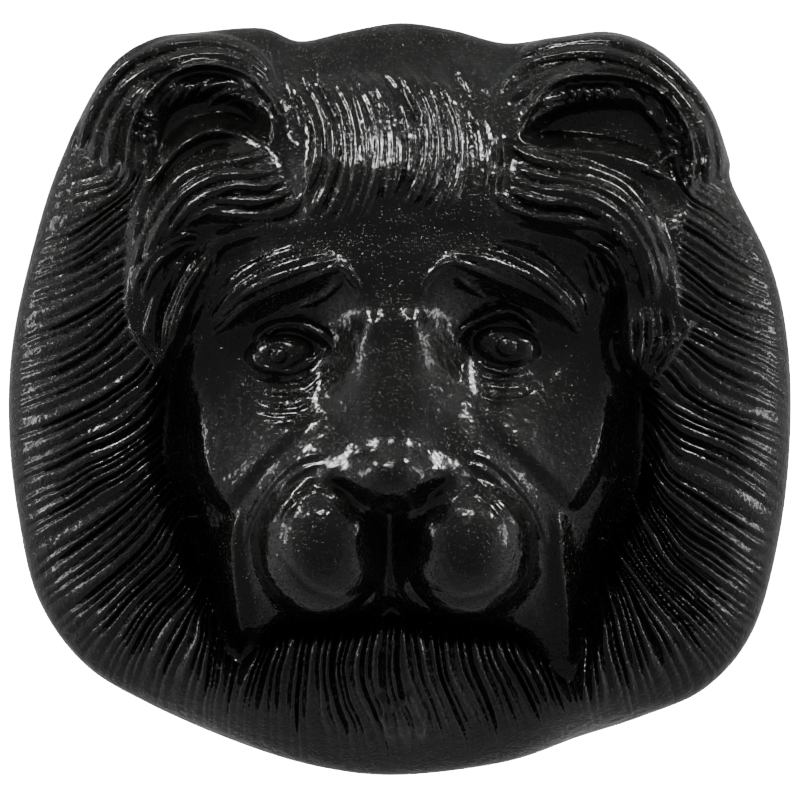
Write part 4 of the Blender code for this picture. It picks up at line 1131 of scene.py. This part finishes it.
def keep_back(block):
    """Keeps the faces in the wall plane and in the hollow, and drops the block's sides and front."""
    outline = smooth_curve(OUTLINE, closed=True)
    x, y, z = (np.array([face.center for face in block.data.polygons]) / MM).T
    gap, _ = nearest_on(outline, x, z, closed=True)
    inner = is_inside(outline, x, z) & (gap > KEEP_CLEAR)
    front_cap = y < KEEP_CLEAR - MASK_WIDTH
    drop_faces(block, ~((inner & ~front_cap) | (np.abs(y) < WELD_GAP)))


def drop_faces(obj, chosen):
    """Deletes the faces that are marked."""
    to_object_mode()
    edit(obj, "FACE", selected=False)
    bpy.ops.object.mode_set(mode="OBJECT")
    obj.data.polygons.foreach_set("select", chosen)
    bpy.ops.object.mode_set(mode="EDIT")
    bpy.ops.mesh.delete(type="FACE")
    bpy.ops.object.mode_set(mode="OBJECT")


def join_back(front, back):
    """Draws the front's rim back to the wall plane and welds the back to it."""
    wall_rim(front, 0)
    bpy.ops.object.mode_set(mode="OBJECT")
    to_object_mode()
    back.select_set(True)
    front.select_set(True)
    bpy.context.view_layer.objects.active = front
    bpy.ops.object.join()
    edit(front, "FACE", selected=True)
    bpy.ops.mesh.remove_doubles(threshold=WELD_GAP * MM)
    close_edit()


def triangle_count(mesh):
    return sum(len(face.vertices) - 2 for face in mesh.polygons)


def new_group(name, inputs, outputs):
    group = bpy.data.node_groups.new(name, "ShaderNodeTree")
    for label, kind, default in inputs:
        socket = group.interface.new_socket(label, in_out="INPUT", socket_type=kind)
        socket.default_value = default
    for label, kind in outputs:
        group.interface.new_socket(label, in_out="OUTPUT", socket_type=kind)
    return group, group.nodes.new("NodeGroupInput"), group.nodes.new("NodeGroupOutput")


def set_inputs(node, inputs):
    """Gives a node's inputs their values, or links them to other nodes' outputs."""
    for name, value in inputs.items():
        if isinstance(value, bpy.types.NodeSocket):
            node.id_data.links.new(value, node.inputs[name])
        else:
            node.inputs[name].default_value = value


def add_node(tree, kind, inputs=None, **settings):
    node = tree.nodes.new(kind)
    for key, value in settings.items():
        setattr(node, key, value)
    set_inputs(node, inputs or {})
    return node


def add_slope(tree, value, start, end, low, high, kind="SMOOTHSTEP"):
    """A value that goes from low to high while another goes from start to end."""
    slope = {"Value": value, "From Min": start, "From Max": end, "To Min": low, "To Max": high}
    return add_node(tree, "ShaderNodeMapRange", slope, interpolation_type=kind).outputs["Result"]


def add_noise(tree, place, scale, detail):
    noise = {"Vector": place, "Scale": scale, "Detail": detail}
    return add_node(tree, "ShaderNodeTexNoise", noise).outputs["Fac"]


def scale_and_add(tree, value, factor, extra):
    parts = {0: value, 1: factor, 2: extra}
    return add_node(tree, "ShaderNodeMath", parts, operation="MULTIPLY_ADD").outputs["Value"]


def sand_grain_group():
    """Scattered grains on the swell of the thick coat, as a height, and the coat's broad patches."""
    tree, entry, leave = new_group(
        "sand_grain",
        (
            ("Coordinates", "NodeSocketVector", (0, 0, 0)),
            ("Grain", "NodeSocketFloat", 900.0),
            ("Grain share", "NodeSocketFloat", 0.3),
        ),
        (("Height", "NodeSocketFloat"), ("Patches", "NodeSocketFloat")),
    )
    place = entry.outputs["Coordinates"]
    grains = add_slope(tree, add_noise(tree, place, entry.outputs["Grain"], 0.0), *GRAIN_RISE, 0.0, 1.0)
    swell = add_noise(tree, place, SWELL_SCALE, 1.0)
    height = scale_and_add(tree, grains, entry.outputs["Grain share"], swell)
    set_inputs(leave, {"Height": height, "Patches": add_noise(tree, place, PATCH_SCALE, 3.0)})
    return tree


def enamel(finish, grain):
    """Black gloss enamel over the grain of the casting."""
    material = bpy.data.materials.new("black_enamel")
    material.use_nodes = True
    tree = material.node_tree
    place = add_node(tree, "ShaderNodeTexCoord").outputs["Object"]
    cast = {"Coordinates": place, "Grain": finish.grain_scale, "Grain share": finish.grain_share}
    grains = add_node(tree, "ShaderNodeGroup", cast, node_tree=grain)
    patches = grains.outputs["Patches"]
    relief_of_coat = {"Height": grains.outputs["Height"], "Strength": 1.0, "Distance": finish.grain_depth}
    bump = add_node(tree, "ShaderNodeBump", relief_of_coat)
    tint = add_node(tree, "ShaderNodeValToRGB", {"Fac": patches})
    for element, position, share in zip(tint.color_ramp.elements, TINT_PATCHES, (1, LIGHTER_TINT)):
        element.position = position
        element.color = (*(share * channel for channel in finish.enamel_colour), 1)
    smooth = finish.roughness - SMOOTHER
    rough = finish.roughness + ROUGHER
    coat = {
        "Base Color": tint.outputs["Color"],
        "Roughness": add_slope(tree, patches, *GLOSS_PATCHES, smooth, rough, kind="LINEAR"),
        "Normal": bump.outputs["Normal"],
        "Coat Weight": COAT_WEIGHT,
        "Coat Roughness": COAT_ROUGHNESS,
    }
    set_inputs(tree.nodes["Principled BSDF"], coat)
    return material


class LionMaskCasting(bpy.types.PropertyGroup):
    cells: IntProperty(name="Cells", description="Cells of the carved front each way", default=540, min=50)
    triangles: IntProperty(
        name="Triangles",
        description="Triangles left once the flat stretches are thinned",
        default=190000,
        min=5000,
    )


class LionMaskFinish(bpy.types.PropertyGroup):
    enamel_colour: FloatVectorProperty(
        name="Enamel",
        description="Colour of the enamel",
        default=(0.0045, 0.005, 0.004),
        subtype="COLOR",
        size=3,
    )
    roughness: FloatProperty(
        name="Roughness",
        description="Mean roughness of the enamel",
        default=0.12,
        min=0.08,
        max=1.0,
        subtype="FACTOR",
    )
    grain_scale: FloatProperty(
        name="Grain", description="Grains of the casting a metre", default=1300.0, min=10.0
    )
    grain_share: FloatProperty(
        name="Grain share",
        description="Height of the grains, as a share of the coat's swell",
        default=0.45,
        min=0.0,
    )
    grain_depth: FloatProperty(
        name="Swell depth", description="Height of the coat's swell", default=0.0004, unit="LENGTH"
    )


class LionMaskStudio(bpy.types.PropertyGroup):
    distance: FloatProperty(
        name="Camera distance", description="From the wall plane", default=2.2, unit="LENGTH"
    )
    view_width: FloatProperty(
        name="View width", description="Width of the view at the wall", default=0.236, unit="LENGTH"
    )
    key_power: FloatProperty(
        name="Key light", description="Power of the overhead light", default=5.2, unit="POWER"
    )
    corner_power: FloatProperty(
        name="Corner lights", description="Power of the light at each upper corner", default=7.0, unit="POWER"
    )
    side_power: FloatProperty(
        name="Side lights", description="Power of the light at each side", default=1.4, unit="POWER"
    )
    side_light: FloatProperty(
        name="Paper light", description="Strength of the white paper's light", default=0.62, min=0.0
    )
    front_light: FloatProperty(
        name="Room light", description="Strength of the room's light", default=0.17, min=0.0
    )


class LION_OT_casting(bpy.types.Operator):
    """Carves the lion's head, hollows its back and joins them into one casting"""

    bl_idname = "lion_mask.casting"
    bl_label = "Casting"

    def execute(self, context):
        sizes = context.scene.lion_mask_casting
        front = carve_front(sizes.cells)
        back = block_behind(front)
        hollow_out(back)
        keep_back(back)
        join_back(front, back)
        share = sizes.triangles / triangle_count(front.data)
        apply_modifier(front, "DECIMATE", "thin the flat stretches", ratio=min(share, 1.0))
        to_object_mode()
        front.select_set(True)
        bpy.context.view_layer.objects.active = front
        bpy.ops.object.shade_smooth_by_angle(angle=math.radians(SMOOTH_ANGLE))
        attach(front, "root")
        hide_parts(MASK_NODE)
        return {"FINISHED"}


class LION_OT_enamel(bpy.types.Operator):
    """Coats the casting with black gloss enamel"""

    bl_idname = "lion_mask.enamel"
    bl_label = "Enamel"

    def execute(self, context):
        casting = bpy.data.objects["lion_casting"]
        casting.data.materials.clear()
        casting.data.materials.append(enamel(context.scene.lion_mask_finish, sand_grain_group()))
        return {"FINISHED"}


def add_light(name, form, power, side=1):
    """An area light that faces the middle of the mask, or the same at the other side."""
    (right, back, up), (width, height) = form
    bpy.ops.object.light_add(type="AREA", location=(side * right, back, up))
    light = bpy.context.object
    light.name = name
    light.data.shape = "RECTANGLE"
    light.data.size = width
    light.data.size_y = height
    light.data.energy = power
    light.rotation_euler = Vector(-light.location).to_track_quat("-Z", "Y").to_euler()


def studio_world(studio):
    """White beside and behind the mask and dim in front of it, as on white paper in a darker room."""
    world = bpy.data.worlds.new("studio")
    bpy.context.scene.world = world
    world.use_nodes = True
    tree = world.node_tree
    place = add_node(tree, "ShaderNodeTexCoord").outputs["Generated"]
    parts = add_node(tree, "ShaderNodeSeparateXYZ", {"Vector": place})
    paper = studio.side_light - studio.front_light
    beside = add_slope(tree, parts.outputs["Y"], SURROUND_FROM, 0.0, 0.0, paper)
    slant = add_node(tree, "ShaderNodeMath", {0: parts.outputs["Z"]}, operation="ABSOLUTE")
    level = add_slope(tree, slant.outputs["Value"], *LEVEL_SLOPE, *LEVEL_SHARE)
    ground = tree.nodes["Background"]
    strength = scale_and_add(tree, beside, level, studio.front_light)
    set_inputs(ground, {"Color": (1, 1, 1, 1), "Strength": strength})
    white = add_node(tree, "ShaderNodeBackground", {"Strength": PAPER_WHITE})
    seen = add_node(tree, "ShaderNodeLightPath").outputs["Is Camera Ray"]
    sorted_rays = {"Fac": seen, 1: ground.outputs["Background"], 2: white.outputs["Background"]}
    mix = add_node(tree, "ShaderNodeMixShader", sorted_rays)
    set_inputs(tree.nodes["World Output"], {"Surface": mix.outputs["Shader"]})


class LION_OT_studio(bpy.types.Operator):
    """Sets the lights, the white surround and the camera"""

    bl_idname = "lion_mask.studio"
    bl_label = "Studio"

    def execute(self, context):
        studio = context.scene.lion_mask_studio
        to_object_mode()
        add_light("key", KEY_LIGHT, studio.key_power)
        for side in (-1, 1):
            add_light("corner", CORNER_LIGHT, studio.corner_power, side)
            add_light("side", SIDE_LIGHT, studio.side_power, side)
        studio_world(studio)
        bpy.ops.object.camera_add(location=(0, -studio.distance, 0), rotation=(math.radians(90), 0, 0))
        camera = bpy.context.object
        camera.data.sensor_width = SENSOR_WIDTH
        camera.data.lens = SENSOR_WIDTH * studio.distance / studio.view_width
        context.scene.camera = camera
        return {"FINISHED"}


class LION_PT_mask(bpy.types.Panel):
    bl_label = "Lion head wall mask"
    bl_idname = "LION_PT_mask"
    bl_space_type = "VIEW_3D"
    bl_region_type = "UI"
    bl_category = "Lion mask"

    def draw(self, context):
        for settings, operator in STEPS:
            box = self.layout.box()
            group = getattr(context.scene, settings)
            for name in group.bl_rna.properties.keys():
                if name not in ("rna_type", "name"):
                    box.prop(group, name)
            box.operator(operator)


STEPS = (
    ("lion_mask_casting", "lion_mask.casting"),
    ("lion_mask_finish", "lion_mask.enamel"),
    ("lion_mask_studio", "lion_mask.studio"),
)
CLASSES = (
    LionMaskCasting, LionMaskFinish, LionMaskStudio,
    LION_OT_casting, LION_OT_enamel, LION_OT_studio, LION_PT_mask,
)


def register():
    for each in CLASSES:
        bpy.utils.register_class(each)
    bpy.types.Scene.lion_mask_casting = PointerProperty(type=LionMaskCasting)
    bpy.types.Scene.lion_mask_finish = PointerProperty(type=LionMaskFinish)
    bpy.types.Scene.lion_mask_studio = PointerProperty(type=LionMaskStudio)


def unregister():
    for settings, _ in STEPS:
        delattr(bpy.types.Scene, settings)
    for each in reversed(CLASSES):
        bpy.utils.unregister_class(each)


def main():
    register()
    bpy.ops.lion_mask.casting()
    bpy.ops.lion_mask.enamel()
    bpy.ops.lion_mask.studio()


if __name__ == "__main__":
    main()
